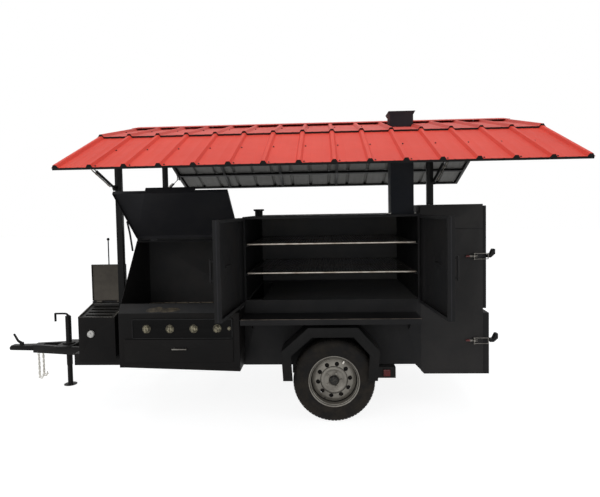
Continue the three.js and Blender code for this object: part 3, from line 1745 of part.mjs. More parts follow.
function flapFrame() {
  const front = flapFrameInset - flapLength;
  const width = flapFrameWidth;
  const rakes = [
    flapX[0] + flapFrameInset,
    strutXs[1] - roofMiddle - width / 2,
    flapX[1] - flapFrameInset - width,
  ];
  const members = [
    ...rakes.map((left) => flapMember([left, left + width], [front, -flapHingeGap - 10])),
    flapMember([flapX[0] + flapFrameInset, flapX[1] - flapFrameInset], [front, front + width]),
    flapMember(
      [flapX[0] + flapFrameInset, flapX[1] - flapFrameInset],
      [-flapPurlin - width, -flapPurlin],
    ),
    flapMember(
      [flapX[0] + flapFrameInset, flapX[1] - flapFrameInset],
      [-flapHingeGap - 10 - width, -flapHingeGap - 10],
    ),
  ];
  const bars = cut(join(...members.map((part) => part.outer)), ...members.map((part) => part.hollow));
  const angles = flapRakeXs.map((x) => flapAngleIron(x - roofMiddle, [front + 1, -flapHingeGap - 11]));
  const heads = strutXs.map((x) => strutHead(x - roofMiddle));
  const leaves = flapHingePlaces.map((x) => join(
    bar([x, 0, 0], [x + hingeLeaf, 0, 0], hingeBarrelRadius),
    block([x, x + hingeLeaf], [-flapHingeGap - 11, 0], [-2, 2]),
  ));
  return join(bars, ...angles, ...heads, ...leaves);
}

function flapSheet() {
  return solid(ribbedSheet(flapHingeGap, flapLength - flapHingeGap, 0).translate(0, 0, flapSheetZ));
}

// ---------------------------------------------------------------- gas struts

const strutRun = strutUpperY - strutLowerY;
const strutRise = strutUpperZ - strutLowerZ;
const strutLength = Math.hypot(strutRun, strutRise);
const strutAngle = Math.atan2(strutRise, strutRun);

function strutEye(at, radius) {
  const half = strutEyeWidth / 2;
  return cut(
    bar([-half, 0, at], [half, 0, at], radius, 10),
    bar([-half - 1, 0, at], [half + 1, 0, at], strutPinRadius + fitGap, 12),
  );
}

// A strut stands on its lower pin and runs up Z. A slim lock tube lies beside the cylinder.
function strutCylinder(hand) {
  const start = strutEyeRadius + 6;
  const bore = strutRodRadius + fitGap;
  const barrel = turned([
    [0, start], [strutCylinderRadius, start],
    [strutCylinderRadius, strutCylinderLength], [bore, strutCylinderLength],
    [bore, start + 12], [0, start + 12],
  ], 10);
  const lockX = hand * lockTubeOffset;
  const clipX = [Math.min(0, lockX), Math.max(0, lockX)];
  const clips = [60, strutCylinderLength - 60].map((z) => cut(
    block(clipX, [-4, 4], [z, z + 12]),
    bar([0, 0, z - 1], [0, 0, z + 13], bore + 2),
  ));
  const neck = bar([0, 0, strutEyeRadius - 3], [0, 0, start + 1], strutRodRadius);
  const lock = bar([lockX, 0, 24], [lockX, 0, strutCylinderLength + 30], lockTubeRadius);
  return join(strutEye(0, strutEyeRadius), neck, barrel, ...clips, lock);
}

function strutRod() {
  const rod = bar([0, 0, strutRodStart], [0, 0, strutLength - strutEyeRadius + 2], strutRodRadius, 10);
  return join(strutEye(strutLength, strutEyeRadius), rod);
}

// ---------------------------------------------------------------- assembly

function wheelSet([side, sign]) {
  const set = group(
    [0, (sign * trackWidth) / 2, wheelRadius],
    piece(`wheel_rim_${side}`, wheelRim(), silverPaint),
    piece(`tyre_${side}`, tyre(), rubberBlack),
  );
  set.rotation.x = (-sign * Math.PI) / 2;
  return set;
}

function runningGear() {
  return group(
    [0, 0, 0],
    piece('axle', axle(), satinBlack),
    ...sides.map(wheelSet),
    ...sides.map(([side, sign]) => piece(`leaf_spring_${side}`, leafSpring(sign), satinBlack)),
    ...sides.map(([side, sign]) => piece(`fender_${side}`, fender(sign), satinBlack)),
    ...sides.map(([side, sign]) => piece(`marker_lamp_${side}`, lampLens(sign), lensRed)),
  );
}

function frontEnd() {
  return group(
    [0, 0, 0],
    piece('chassis_frame', chassisFrame(), satinBlack),
    piece('tongue_frame', tongueFrame(), satinBlack),
    piece('coupler', coupler(), satinBlack),
    piece('coupler_latch', couplerLatch(), satinBlack, [latchX, 0, latchZ]),
    piece('safety_chains', safetyChains(), zincPlate),
    piece('jack_tube', jackTube(), satinBlack, [jackX, 0, 0]),
    piece('jack_leg', jackLeg(), satinBlack, [jackX, 0, 0]),
    piece('jack_crank', jackCrank(), zincPlate, [jackX, 0, 0]),
  );
}

function openDoor(name, hand) {
  const x = hand > 0 ? chamberLeft - doorHingeOut : chamberRight + doorHingeOut;
  const set = group([x, doorHingeY, 0], piece(name, chamberDoor(hand), satinBlack));
  set.rotation.z = -hand * radians(doorOpenAngle);
  return set;
}

function smoker() {
  return group(
    [0, 0, 0],
    piece('smoke_chamber', smokeChamber(), satinBlack),
    piece('rack_lower', rack(), bareSteel, [0, 0, rackLevels[0]]),
    piece('rack_upper', rack(), bareSteel, [0, 0, rackLevels[1]]),
    openDoor('chamber_door_left', 1),
    openDoor('chamber_door_right', -1),
    piece('chimney', chimney(), satinBlack, [chimneyX, chimneyY, 0]),
  );
}

function clamp(name, level) {
  return group(
    [latchPivotX, latchPivotY, level],
    piece(`${name}_lever`, latchLever(), zincPlate),
    piece(`${name}_hook`, latchHook(), zincPlate, [latchPinX, latchPinY, 0]),
  );
}

function cabinet() {
  return group(
    [0, 0, 0],
    piece('cabinet_shell', cabinetShell(), satinBlack),
    piece(
      'cabinet_door',
      sideDoor(sideDoorSpans.upper, upperDoorDepth, upperLatchLevel),
      satinBlack,
      [sideHingeX, sideHingeY, 0],
    ),
    piece(
      'firebox_door',
      sideDoor(sideDoorSpans.fire, fireDoorDepth, lowerLatchLevel),
      satinBlack,
      [sideHingeX, sideHingeY, 0],
    ),
    piece('fire_grate', fireGrate(), castBlack),
    clamp('upper_latch', upperLatchLevel),
    clamp('lower_latch', lowerLatchLevel),
  );
}

function onPanel(name, body, look, x) {
  const mesh = piece(name, body, look, [x, panelFace - fitGap, knobLevel]);
  mesh.rotation.x = Math.PI / 2;
  return mesh;
}

function gasGrill() {
  const hood = group([0, hoodAxisY, hoodAxisZ], piece('grill_hood', grillHood(), satinBlack));
  hood.rotation.x = -radians(hoodOpenAngle);
  return group(
    [0, 0, 0],
    piece('grill_body', grillBody(), satinBlack),
    hood,
    piece('cooking_grate', cookingGrate(), castBlack),
    piece('burners', burners(), bareSteel),
    piece('grease_drawer', greaseDrawer(), satinBlack),
    ...knobPlaces.map((x, i) => onPanel(`knob_${i + 1}`, knob(), zincPlate, x)),
    onPanel('igniter', igniterButton(), zincPlate, igniterX),
  );
}

function fryer() {
  const lid = group([0, fryerAxisY, fryerAxisZ], piece('fryer_lid', fryerLid(), stainless));
  lid.rotation.x = -Math.PI / 2;
  const dial = piece(
    'fryer_dial',
    fryerDial(),
    zincPlate,
    [fryerDialX, fryerFront - fitGap, fryerDialLevel],
  );
  dial.rotation.x = Math.PI / 2;
  return group([0, 0, 0], piece('fryer_body', fryerBody(), satinBlack), lid, dial);
}

function flap([side, sign]) {
  const name = side === 'near' ? 'front' : 'rear';
  const set = group(
    [roofMiddle, sign * hingeY, flapAxisZ],
    piece(`${name}_flap_frame`, mirrored(flapFrame(), sign), satinBlack),
    piece(`${name}_flap_sheet`, mirrored(flapSheet(), sign), redSheet),
  );
  set.rotation.x = -sign * flapTilt;
  return set;
}

function strut(place, x, [side, sign]) {
  const end = side === 'near' ? 'front' : 'rear';
  const hand = place === 'left' ? -1 : 1;
  const set = group(
    [x, sign * strutLowerY, strutLowerZ],
    piece(`strut_cylinder_${end}_${place}`, strutCylinder(hand), satinBlack),
    piece(`strut_rod_${end}_${place}`, strutRod(), bareSteel),
  );
  set.rotation.x = -sign * (Math.PI / 2 - strutAngle);
  return set;
}

function roof() {
  return group(
    [0, 0, 0],
    piece('roof_frame', roofFrame(), satinBlack),
    piece('roof_sheet', roofSheet(), redSheet, [roofMiddle, 0, ridgeZ]),
    ...sides.map(flap),
    ...sides.flatMap((side) => [strut('left', strutXs[0], side), strut('right', strutXs[1], side)]),
  );
}

// The finished trailer, centred on its length and standing on the ground.
const trailer = new THREE.Group();
trailer.add(frontEnd(), runningGear(), smoker(), cabinet(), gasGrill(), fryer(), roof());
trailer.position.x = -(tongueTip - couplerLength + roofRight) / 2;

export default trailer;
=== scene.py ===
import json
import math

import bmesh
import bpy
from mathutils import Matrix, Vector


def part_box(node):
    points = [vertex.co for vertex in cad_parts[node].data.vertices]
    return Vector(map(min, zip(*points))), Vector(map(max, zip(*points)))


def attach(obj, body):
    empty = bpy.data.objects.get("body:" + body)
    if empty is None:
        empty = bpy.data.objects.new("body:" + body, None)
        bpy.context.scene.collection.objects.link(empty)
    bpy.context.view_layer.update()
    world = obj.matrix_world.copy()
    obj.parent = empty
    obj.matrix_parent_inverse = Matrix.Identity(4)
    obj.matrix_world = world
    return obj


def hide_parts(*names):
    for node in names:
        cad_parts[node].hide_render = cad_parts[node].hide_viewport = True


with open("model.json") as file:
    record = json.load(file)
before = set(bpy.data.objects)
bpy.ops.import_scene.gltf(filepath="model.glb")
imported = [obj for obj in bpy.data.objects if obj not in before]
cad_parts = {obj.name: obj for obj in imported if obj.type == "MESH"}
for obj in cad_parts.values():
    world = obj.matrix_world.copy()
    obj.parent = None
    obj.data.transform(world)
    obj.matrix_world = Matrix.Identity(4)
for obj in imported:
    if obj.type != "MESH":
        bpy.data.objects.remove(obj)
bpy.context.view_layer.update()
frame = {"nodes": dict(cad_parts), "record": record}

bl_info = {
    "name": "Barbecue Trailer",
    "version": (1, 0, 0),
    "blender": (4, 5, 0),
    "location": "View3D > Sidebar > Trailer",
    "description": "Builds the looks of a towable smoker, grill and fryer around its packed frame",
    "category": "Add Mesh",
}

RECORD = frame["record"]
JOINTS = {joint["name"]: joint for joint in RECORD["behaviour"]["joints"]}
LOW, HIGH = 0, 1
UPWARD = Vector((0, 0, 1))
KNOBS = range(1, 5)
SHEET_RISE = 0.009  # from a flap's pivot up to the roofing
SAME_SPOT = 1e-5
SHARP_TURN = math.radians(55)  # edges that turn more than this are eased


# ------------------------------------------------------------------ places read from the frame

def low(node):
    return Vector(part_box(node)[LOW])


def high(node):
    return Vector(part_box(node)[HIGH])


def middle(node):
    return (low(node) + high(node)) / 2


def pivot(joint):
    return Vector(JOINTS[joint]["pos_m"])


def within(spot, lowest, highest):
    """Whether a spot lies between two corners."""
    return all(least < value < most for least, value, most in zip(lowest, spot, highest))


def shut_turn(joint):
    """The turn about the world's axis that takes a piece drawn shut to its resting pose."""
    entry = JOINTS[joint]
    return Matrix.Rotation(-math.radians(entry["range_deg"][LOW]), 4, Vector(entry["axis"]))


# ------------------------------------------------------------------ mesh tools

def add_box(bm, lowest, highest, place=None):
    """A box between two corners, put where a matrix says."""
    lowest, highest = Vector(lowest), Vector(highest)
    stretch = Matrix.Translation((lowest + highest) / 2) @ Matrix.Diagonal((*(highest - lowest), 1))
    verts = bmesh.ops.create_cube(bm, size=1, matrix=stretch)["verts"]
    if place:
        bmesh.ops.transform(bm, matrix=place, verts=verts)


def along(start, end):
    """A matrix that stands Z along a line and centres it there."""
    start, end = Vector(start), Vector(end)
    turn = UPWARD.rotation_difference(end - start).to_matrix().to_4x4()
    return Matrix.Translation((start + end) / 2) @ turn


def add_rod(bm, start, end, radius, segments, tip=None):
    length = (Vector(end) - Vector(start)).length
    return bmesh.ops.create_cone(
        bm, cap_ends=True, segments=segments, radius1=radius, radius2=radius if tip is None else tip,
        depth=length, matrix=along(start, end),
    )["verts"]


def add_ball(bm, centre, radius, segments):
    place = Matrix.Translation(Vector(centre))
    bmesh.ops.create_uvsphere(bm, u_segments=segments, v_segments=segments // 2, radius=radius, matrix=place)


def add_bent_rod(bm, path, radius, ball):
    """A rod through several points, with a ball that rounds each bend."""
    for start, end in zip(path, path[1:]):
        add_rod(bm, start, end, radius, 20)
    for spot in path:
        add_ball(bm, spot, ball, 16)


def add_spun(bm, profile, segments, place):
    """A closed profile of (radius, height) points turned about Z, then placed."""
    verts = [bm.verts.new((radius, 0, height)) for radius, height in profile]
    edges = [bm.edges.new((verts[i], verts[(i + 1) % len(verts)])) for i in range(len(verts))]
    bmesh.ops.spin(
        bm, geom=verts + edges, cent=(0, 0, 0), axis=(0, 0, 1), angle=2 * math.pi,
        steps=segments, use_merge=True,
    )
    found, front = set(verts), list(verts)
    while front:
        vert = front.pop()
        for edge in vert.link_edges:
            other = edge.other_vert(vert)
            if other not in found:
                found.add(other)
                front.append(other)
    found = [vert for vert in found if vert.is_valid]
    near_axis = [vert for vert in found if math.hypot(vert.co.x, vert.co.y) < 1e-6]
    if near_axis:
        bmesh.ops.remove_doubles(bm, verts=near_axis, dist=SAME_SPOT)
        found = [vert for vert in found if vert.is_valid]
    faces = {face for vert in found for face in vert.link_faces}
    bmesh.ops.recalc_face_normals(bm, faces=list(faces))
    bmesh.ops.transform(bm, matrix=place, verts=found)


def add_plate(bm, outline, depth, place=None):
    """A flat outline of 3-D points, given a thickness along a vector and put where a matrix says."""
    face = bm.faces.new([bm.verts.new(point) for point in outline])
    bm.normal_update()
    grown = bmesh.ops.extrude_face_region(bm, geom=[face])
    verts = [item for item in grown["geom"] if isinstance(item, bmesh.types.BMVert)]
    bmesh.ops.translate(bm, vec=Vector(depth), verts=verts)
    faces = {item for vert in verts for item in vert.link_faces} | {face}
    bmesh.ops.recalc_face_normals(bm, faces=list(faces))
    if place:
        bmesh.ops.transform(bm, matrix=place, verts=list({vert for item in faces for vert in item.verts}))


def add_nut(bm, start, end, radius):
    return add_rod(bm, start, end, radius, segments=6)


def round_edges(bm, width, segments=2):
    edges = [edge for edge in bm.edges if len(edge.link_faces) == 2 and edge.calc_face_angle(0) > SHARP_TURN]
    if edges and width > 0:
        bmesh.ops.bevel(
            bm, geom=edges, offset=width, offset_type="OFFSET", segments=segments, profile=0.5,
            affect="EDGES", material=-1, clamp_overlap=True,
        )


def soften(mesh, angle):
    """Faces shade smooth, and edges that turn more than the angle stay crisp."""
    mesh.shade_smooth()
    bm = bmesh.new()
    bm.from_mesh(mesh)
    limit = math.radians(angle)
    for edge in bm.edges:
        edge.smooth = len(edge.link_faces) == 2 and edge.calc_face_angle(math.pi) < limit
    bm.to_mesh(mesh)
    bm.free()


def place_mesh(bm, name, looks):
    """A finished shape as an object, with its looks in their order."""
    mesh = bpy.data.meshes.new(name)
    bm.to_mesh(mesh)
    bm.free()
    for look in looks:
        mesh.materials.append(look)
    thing = bpy.data.objects.new(name, mesh)
    bpy.context.scene.collection.objects.link(thing)
    return thing


def make_piece(bm, name, body, look, replaces=(), bevel=0.0, angle=40):
    """A piece of the trailer that rides a body and may stand in for nodes of the frame."""
    if bevel:
        round_edges(bm, bevel)
    thing = place_mesh(bm, name, look if isinstance(look, list) else [look])
    soften(thing.data, angle)
    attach(thing, body)
    if replaces:
        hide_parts(*replaces)


def copy_node(node):
    """The node's mesh in the trailer's frame, with its flats joined."""
    bm = bmesh.new()
    bm.from_mesh(frame["nodes"][node].data)
    bm.transform(frame["nodes"][node].matrix_world)
    bmesh.ops.remove_doubles(bm, verts=bm.verts, dist=SAME_SPOT)
    bmesh.ops.dissolve_limit(bm, angle_limit=math.radians(0.5), verts=bm.verts, edges=bm.edges)
    bmesh.ops.dissolve_degenerate(bm, dist=SAME_SPOT, edges=bm.edges)
    return bm


def refine(node, body, look, bevel=None, inner=(), is_inner=None, finish=None):
    """A copy of a frame node with its edges eased. is_inner numbers each face's look, and finish adds shapes."""
    bm = copy_node(node)
    if is_inner:
        for face in bm.faces:
            face.material_index = int(is_inner(face.calc_center_median(), face.normal))
    round_edges(bm, sizes().edge_round if bevel is None else bevel)
    if finish:
        finish(bm)
    make_piece(bm, f"{node}_shaped", body, [look, *inner], [node], angle=50)


# ------------------------------------------------------------------ shader groups

def start_group(name, inputs, outputs):
    """A new group, its inputs and outputs by name, and the piece's own coordinates."""
    group = bpy.data.node_groups.new(name, "ShaderNodeTree")
    for label, value in inputs.items():
        made = group.interface.new_socket(name=label, in_out="INPUT", socket_type="NodeSocketFloat")
        made.default_value = value
    for label in outputs:
        kind = "NodeSocketVector" if label == "Normal" else "NodeSocketFloat"
        group.interface.new_socket(name=label, in_out="OUTPUT", socket_type=kind)
    kinds = ("NodeGroupInput", "NodeGroupOutput", "ShaderNodeTexCoord")
    entry, leave, place = (group.nodes.new(kind) for kind in kinds)
    return group, entry.outputs, leave.inputs, place.outputs["Object"]


def join_up(tree, *pairs):
    for source, target in pairs:
        tree.links.new(source, target)


def feed(tree, value, socket):
    """A socket takes another node's value through a link, and a plain value as it is."""
    if isinstance(value, bpy.types.NodeSocket):
        tree.links.new(value, socket)
    elif value is not None:
        socket.default_value = value


def add_math(tree, operation, first, second, third=None):
    node = tree.nodes.new("ShaderNodeMath")
    node.operation = operation
    node.use_clamp = operation in {"MULTIPLY_ADD", "ADD", "SUBTRACT"}
    for socket, value in zip(node.inputs, (first, second, third)):
        feed(tree, value, socket)
    return node.outputs[0]


def add_noise(tree, place, scale, detail, roughness):
    node = tree.nodes.new("ShaderNodeTexNoise")
    node.inputs["Detail"].default_value = detail
    node.inputs["Roughness"].default_value = roughness
    feed(tree, place, node.inputs["Vector"])
    feed(tree, scale, node.inputs["Scale"])
    return node.outputs["Fac"]


def between(tree, value, lowest, highest):
    node = tree.nodes.new("ShaderNodeMapRange")
    node.clamp = True
    for label, given in (("Value", value), ("From Min", lowest), ("From Max", highest)):
        feed(tree, given, node.inputs[label])
    return node.outputs["Result"]


def add_bump(tree, height, strength, distance):
    node = tree.nodes.new("ShaderNodeBump")
    for label, given in (("Height", height), ("Strength", strength), ("Distance", distance)):
        feed(tree, given, node.inputs[label])
    return node.outputs["Normal"]


def patches_group(name):
    """Soft uneven patches: a mask from 0 to 1 of the given size and share."""
    group, given, leave, place = start_group(name, {"Scale": 4.0, "Start": 0.4, "End": 0.65}, ["Mask"])
    cloud = add_noise(group, place, given["Scale"], 6, 0.6)
    join_up(group, (between(group, cloud, given["Start"], given["End"]), leave["Mask"]))
    return group


def grain_group(name):
    """The fine texture of brushed or sprayed paint: a normal and a small spread of roughness."""
    inputs = {"Scale": 220.0, "Height": 0.15, "Rough Low": 0.45, "Rough High": 0.6}
    group, given, leave, place = start_group(name, inputs, ["Rough", "Normal"])
    fine = add_noise(group, place, given["Scale"], 2, 0.5)
    broad = add_noise(group, place, 7.0, 4, 0.6)
    mixed = add_math(group, "MULTIPLY_ADD", fine, 0.35, add_math(group, "MULTIPLY", broad, 0.65))
    spread = add_math(group, "SUBTRACT", given["Rough High"], given["Rough Low"])
    rough = add_math(group, "MULTIPLY_ADD", mixed, spread, given["Rough Low"])
    join_up(group, (add_bump(group, fine, given["Height"], 0.0006), leave["Normal"]), (rough, leave["Rough"]))
    return group


def dust_group(name):
    """Road dust that is thick near the ground and broken up higher on."""
    group, given, leave, place = start_group(name, {"Top": 0.7, "Amount": 0.5}, ["Mask"])
    split = group.nodes.new("ShaderNodeSeparateXYZ")
    join_up(group, (place, split.inputs[0]))
    fall = between(group, split.outputs["Z"], given["Top"], 0.0)
    broken = between(group, add_noise(group, place, 9.0, 8, 0.65), 0.35, 0.7)
    mask = add_math(group, "MULTIPLY", add_math(group, "MULTIPLY", fall, broken), given["Amount"])
    join_up(group, (mask, leave["Mask"]))
    return group


def streaks_group(name):
    """Long fine marks along one direction, as rolling or brushing leaves on metal."""
    inputs = {"Along X": 1.0, "Along Y": 60.0, "Along Z": 60.0}
    group, given, leave, place = start_group(name, inputs, ["Mask", "Normal"])
    gather = group.nodes.new("ShaderNodeCombineXYZ")
    stretch = group.nodes.new("ShaderNodeVectorMath")
    stretch.operation = "MULTIPLY"
    join_up(group, *((given[f"Along {axis}"], gather.inputs[axis]) for axis in "XYZ"))
    join_up(group, (place, stretch.inputs[0]), (gather.outputs[0], stretch.inputs[1]))
    lines = add_noise(group, stretch.outputs[0], 4.0, 5, 0.7)
    join_up(group, (add_bump(group, lines, 0.2, 0.0004), leave["Normal"]), (lines, leave["Mask"]))
    return group


GROUP_MAKERS = {
    "Uneven Patches": patches_group, "Paint Grain": grain_group,
    "Road Dust": dust_group, "Drawn Streaks": streaks_group,
}


def place_group(tree, name, **values):
    """A group in a material, built the first time, with its own values."""
    node = tree.nodes.new("ShaderNodeGroup")
    node.node_tree = bpy.data.node_groups.get(name) or GROUP_MAKERS[name](name)
    for label, value in values.items():
        node.inputs[label.replace("_", " ")].default_value = value
    return node


# ------------------------------------------------------------------ materials

def screen(colour):
    return tuple(255 * value for value in colour)


def linear(colour):
    """Screen values from 0 to 255 as the light values that a shader reads."""
    steps = [value / 255 for value in colour]
    return [step / 12.92 if step <= 0.04045 else ((step + 0.055) / 1.055) ** 2.4 for step in steps] + [1.0]


def made_once(maker):
    """A finish is made the first time that it is asked for, and found by its name after that."""
    def find(name, *values, **named):
        return bpy.data.materials.get(name) or maker(name, *values, **named)
    return find


def start_material(name, metallic, shine=0.5):
    """A new material, its node tree and its shader's sockets."""
    material = bpy.data.materials.new(name)
    material.use_nodes = True
    sockets = material.node_tree.nodes["Principled BSDF"].inputs
    sockets["Metallic"].default_value = metallic
    sockets["Specular IOR Level"].default_value = shine
    return material, material.node_tree, sockets


def blend_colours(tree, mask, under, over):
    node = tree.nodes.new("ShaderNodeMix")
    node.data_type = "RGBA"
    for index, value in ((0, mask), (6, under), (7, over)):
        feed(tree, value, node.inputs[index])
    return node.outputs[2]


@made_once
def painted(name, colour, worn, rough, grain=(220.0, 0.15), patch=(4.0, 0.4, 0.7), dust=0.0, metallic=0.0, shine=0.5):
    """Sprayed paint: two near shades in patches, a fine grain and some dust near the ground."""
    material, tree, sockets = start_material(name, metallic, shine)
    patches = place_group(tree, "Uneven Patches", Scale=patch[0], Start=patch[1], End=patch[2])
    surface = place_group(
        tree, "Paint Grain", Scale=grain[0], Height=grain[1], Rough_Low=rough[0], Rough_High=rough[1],
    )
    shade = blend_colours(tree, patches.outputs["Mask"], linear(colour), linear(worn))
    if dust:
        dusty = place_group(tree, "Road Dust", Top=0.75, Amount=dust)
        shade = blend_colours(tree, dusty.outputs["Mask"], shade, linear((112, 101, 88)))
    join_up(
        tree, (shade, sockets["Base Color"]), (surface.outputs["Rough"], sockets["Roughness"]),
        (surface.outputs["Normal"], sockets["Normal"]),
    )
    return material


@made_once
def drawn_metal(name, colour, worn, rough, along=(1.0, 60.0, 60.0), metallic=1.0, patch_scale=14.0):
    """Bare or plated metal with fine marks along its length."""
    material, tree, sockets = start_material(name, metallic)
    streaks = place_group(tree, "Drawn Streaks", Along_X=along[0], Along_Y=along[1], Along_Z=along[2])
    patches = place_group(tree, "Uneven Patches", Scale=patch_scale, Start=0.42, End=0.66)
    shade = blend_colours(tree, patches.outputs["Mask"], linear(colour), linear(worn))
    roughness = tree.nodes.new("ShaderNodeMapRange")
    roughness.inputs["To Min"].default_value, roughness.inputs["To Max"].default_value = rough
    join_up(
        tree, (streaks.outputs["Mask"], roughness.inputs["Value"]), (shade, sockets["Base Color"]),
        (roughness.outputs["Result"], sockets["Roughness"]), (streaks.outputs["Normal"], sockets["Normal"]),
    )
    return material


def stove_black():
    return painted("Stove Black", screen(sizes().paint_colour), (42, 41, 41), (0.42, 0.6), dust=0.05, shine=0.12)


# Copies of the stove's black paint: darker on the low grill and fryer as painted shade, lighter on the cabinet and hood
# as painted light.
def shaded_grill_black():
    return painted("Grill Black", (20, 19, 19), (27, 25, 24), (0.45, 0.62), shine=0.09)


def lit_cabinet_black():
    return painted("Cabinet Black", (46, 45, 45), (54, 52, 51), (0.42, 0.6), shine=0.14)


def lit_hood_black():
    return painted("Hood Black", (44, 44, 47), (52, 51, 53), (0.42, 0.6), shine=0.12)


def trailer_black():
    return painted("Trailer Black", (22, 22, 22), (29, 28, 28), (0.38, 0.56), (260.0, 0.1), dust=0.06, shine=0.1)


def soot_black():
    soot, patch = (38, 38, 39), (3.0, 0.42, 0.72)
    return painted("Smoked Steel", soot, (46, 44, 43), (0.5, 0.8), (120.0, 0.35), patch, shine=0.2)


def soot_with_painted_light():
    # Soot painted lighter than the doors' soot, as painted fill light in the shaded chamber.
    grey, patch = (78, 78, 79), (2.4, 0.42, 0.72)
    return painted("Smoked Chamber", grey, (88, 86, 83), (0.55, 0.8), (120.0, 0.35), patch, shine=0.3)


def chimney_paint():
    return painted("Heated Paint", (42, 44, 49), (50, 51, 54), (0.5, 0.65), shine=0.1)


def glinting_knob_metal():
    # Dark knob metal mottled with bright yellowish patches, which are painted glints.
    return drawn_metal("Smoked Chrome", (136, 130, 110), (36, 34, 29), (0.25, 0.45), (40.0, 40.0, 40.0), 0.8, 55.0)


def greasy_hub():
    black, grease, specks = (27, 26, 25), (78, 74, 66), (70.0, 0.48, 0.62)
    return painted("Greasy Hub", black, grease, (0.5, 0.7), (200.0, 0.3), specks, shine=0.3)


def grease_film():
    return painted("Grease Film", (92, 83, 69), (52, 48, 42), (0.4, 0.65), (160.0, 0.4), (22.0, 0.4, 0.62), shine=0.2)


def panel_black():
    return painted("Panel Black", (10, 10, 10), (15, 14, 14), (0.42, 0.56), (300.0, 0.06), shine=0.07)


def red_roofing():
    red = screen(sizes().roof_colour)
    return painted("Red Roofing", red, (206, 62, 48), (0.45, 0.6), (320.0, 0.05), (1.6, 0.3, 0.75), shine=0.12)


def pale_sheen_roofing():
    """The flatter centre of the roof, in a paler red that is a painted grazing reflection."""
    dull, patch = (208, 86, 76), (2.2, 0.35, 0.7)
    return painted("Faded Roofing", dull, (188, 74, 65), (0.5, 0.65), (320.0, 0.05), patch, shine=0.12)


def roof_backing():
    return painted("Grey Roof Backing", (128, 127, 123), (112, 110, 106), (0.55, 0.7), (300.0, 0.06))


def wheel_silver():
    silver, worn = (131, 127, 119), (103, 99, 92)
    return painted("Wheel Silver", silver, worn, (0.34, 0.5), (420.0, 0.08), (9.0, 0.4, 0.7), 0.1, 0.45)


def tyre_rubber():
    rubber, dusty = (24, 23, 23), (40, 36, 31)
    return painted("Tyre Rubber", rubber, dusty, (0.7, 0.9), (380.0, 0.4), (9.0, 0.4, 0.7), 0.12, shine=0.2)


def black_rubber():
    return painted("Black Rubber", (20, 20, 20), (28, 27, 26), (0.6, 0.75), (500.0, 0.2), shine=0.15)


def cast_black():
    iron, rusty = (30, 28, 27), (52, 44, 38)
    return painted("Seasoned Cast Iron", iron, rusty, (0.55, 0.8), (160.0, 0.6), (18.0, 0.4, 0.7), metallic=0.3)


def lens_red():
    return painted("Red Lens", (112, 24, 24), (96, 18, 18), (0.12, 0.2), (600.0, 0.02), shine=0.3)


def dial_white():
    return painted("White Enamel", (232, 230, 224), (214, 211, 204), (0.25, 0.35), (400.0, 0.03))


def mark_black():
    return painted("Dial Mark", (30, 30, 30), (40, 40, 40), (0.4, 0.5), (400.0, 0.02), shine=0.15)


def bright_zinc():
    return drawn_metal("Bright Zinc", (214, 212, 206), (188, 184, 176), (0.22, 0.42), (25.0, 25.0, 25.0))


def worn_zinc():
    return drawn_metal("Worn Zinc", (118, 115, 110), (84, 81, 77), (0.35, 0.55), (25.0, 25.0, 25.0))


def drum_and_groove_shade_black():
    # Dark iron for the brake drum, also used for the painted shade in the rims' grooves.
    return painted("Brake Drum", (24, 23, 22), (36, 32, 28), (0.6, 0.8), (200.0, 0.3), (12.0, 0.4, 0.7), shine=0.15)


def fryer_brown():
    return drawn_metal("Browned Steel", (36, 34, 31), (22, 21, 20), (0.35, 0.6), (8.0, 8.0, 8.0), 0.4)


def bare_rod():
    return drawn_metal("Bare Steel Rod", (178, 172, 162), (138, 128, 116), (0.25, 0.42))


def worn_stainless():
    return drawn_metal("Worn Stainless", (59, 55, 49), (51, 47, 42), (0.35, 0.55), (1.0, 60.0, 1.0), 0.7)


def polished():
    return drawn_metal("Polished Metal", (226, 226, 224), (206, 206, 204), (0.08, 0.2), (40.0, 40.0, 40.0))


# ------------------------------------------------------------------ roof

def slope_place(start, direction, outward):
    """X along the trailer, Y down the slope and Z out of the roof, from a start point."""
    direction, outward = Vector(direction).normalized(), Vector(outward).normalized()
    across = direction.cross(outward)
    turn = Matrix((across, direction, outward)).transposed().to_4x4()
    return Matrix.Translation(Vector(start)) @ turn


def rib_line(left, right, ribs):
    """The sheet's section between two ends: flats, ribs, and two low stiffeners between ribs."""
    look = sizes()
    foot, crest, rise = look.rib_base / 2, look.rib_crest / 2, look.rib_height
    points = [(left, 0)]
    for rib in ribs:
        for offset, height in ((-foot, 0), (-crest, rise), (crest, rise), (foot, 0)):
            points.append((rib + offset, height))
        for share in (1 / 3, 2 / 3):
            for offset, height in ((-0.009, 0), (-0.004, 0.0012), (0.004, 0.0012), (0.009, 0)):
                points.append((rib + share * look.rib_pitch + offset, height))
    points = [point for point in points if left <= point[0] <= right]
    return points + [(right, 0)]


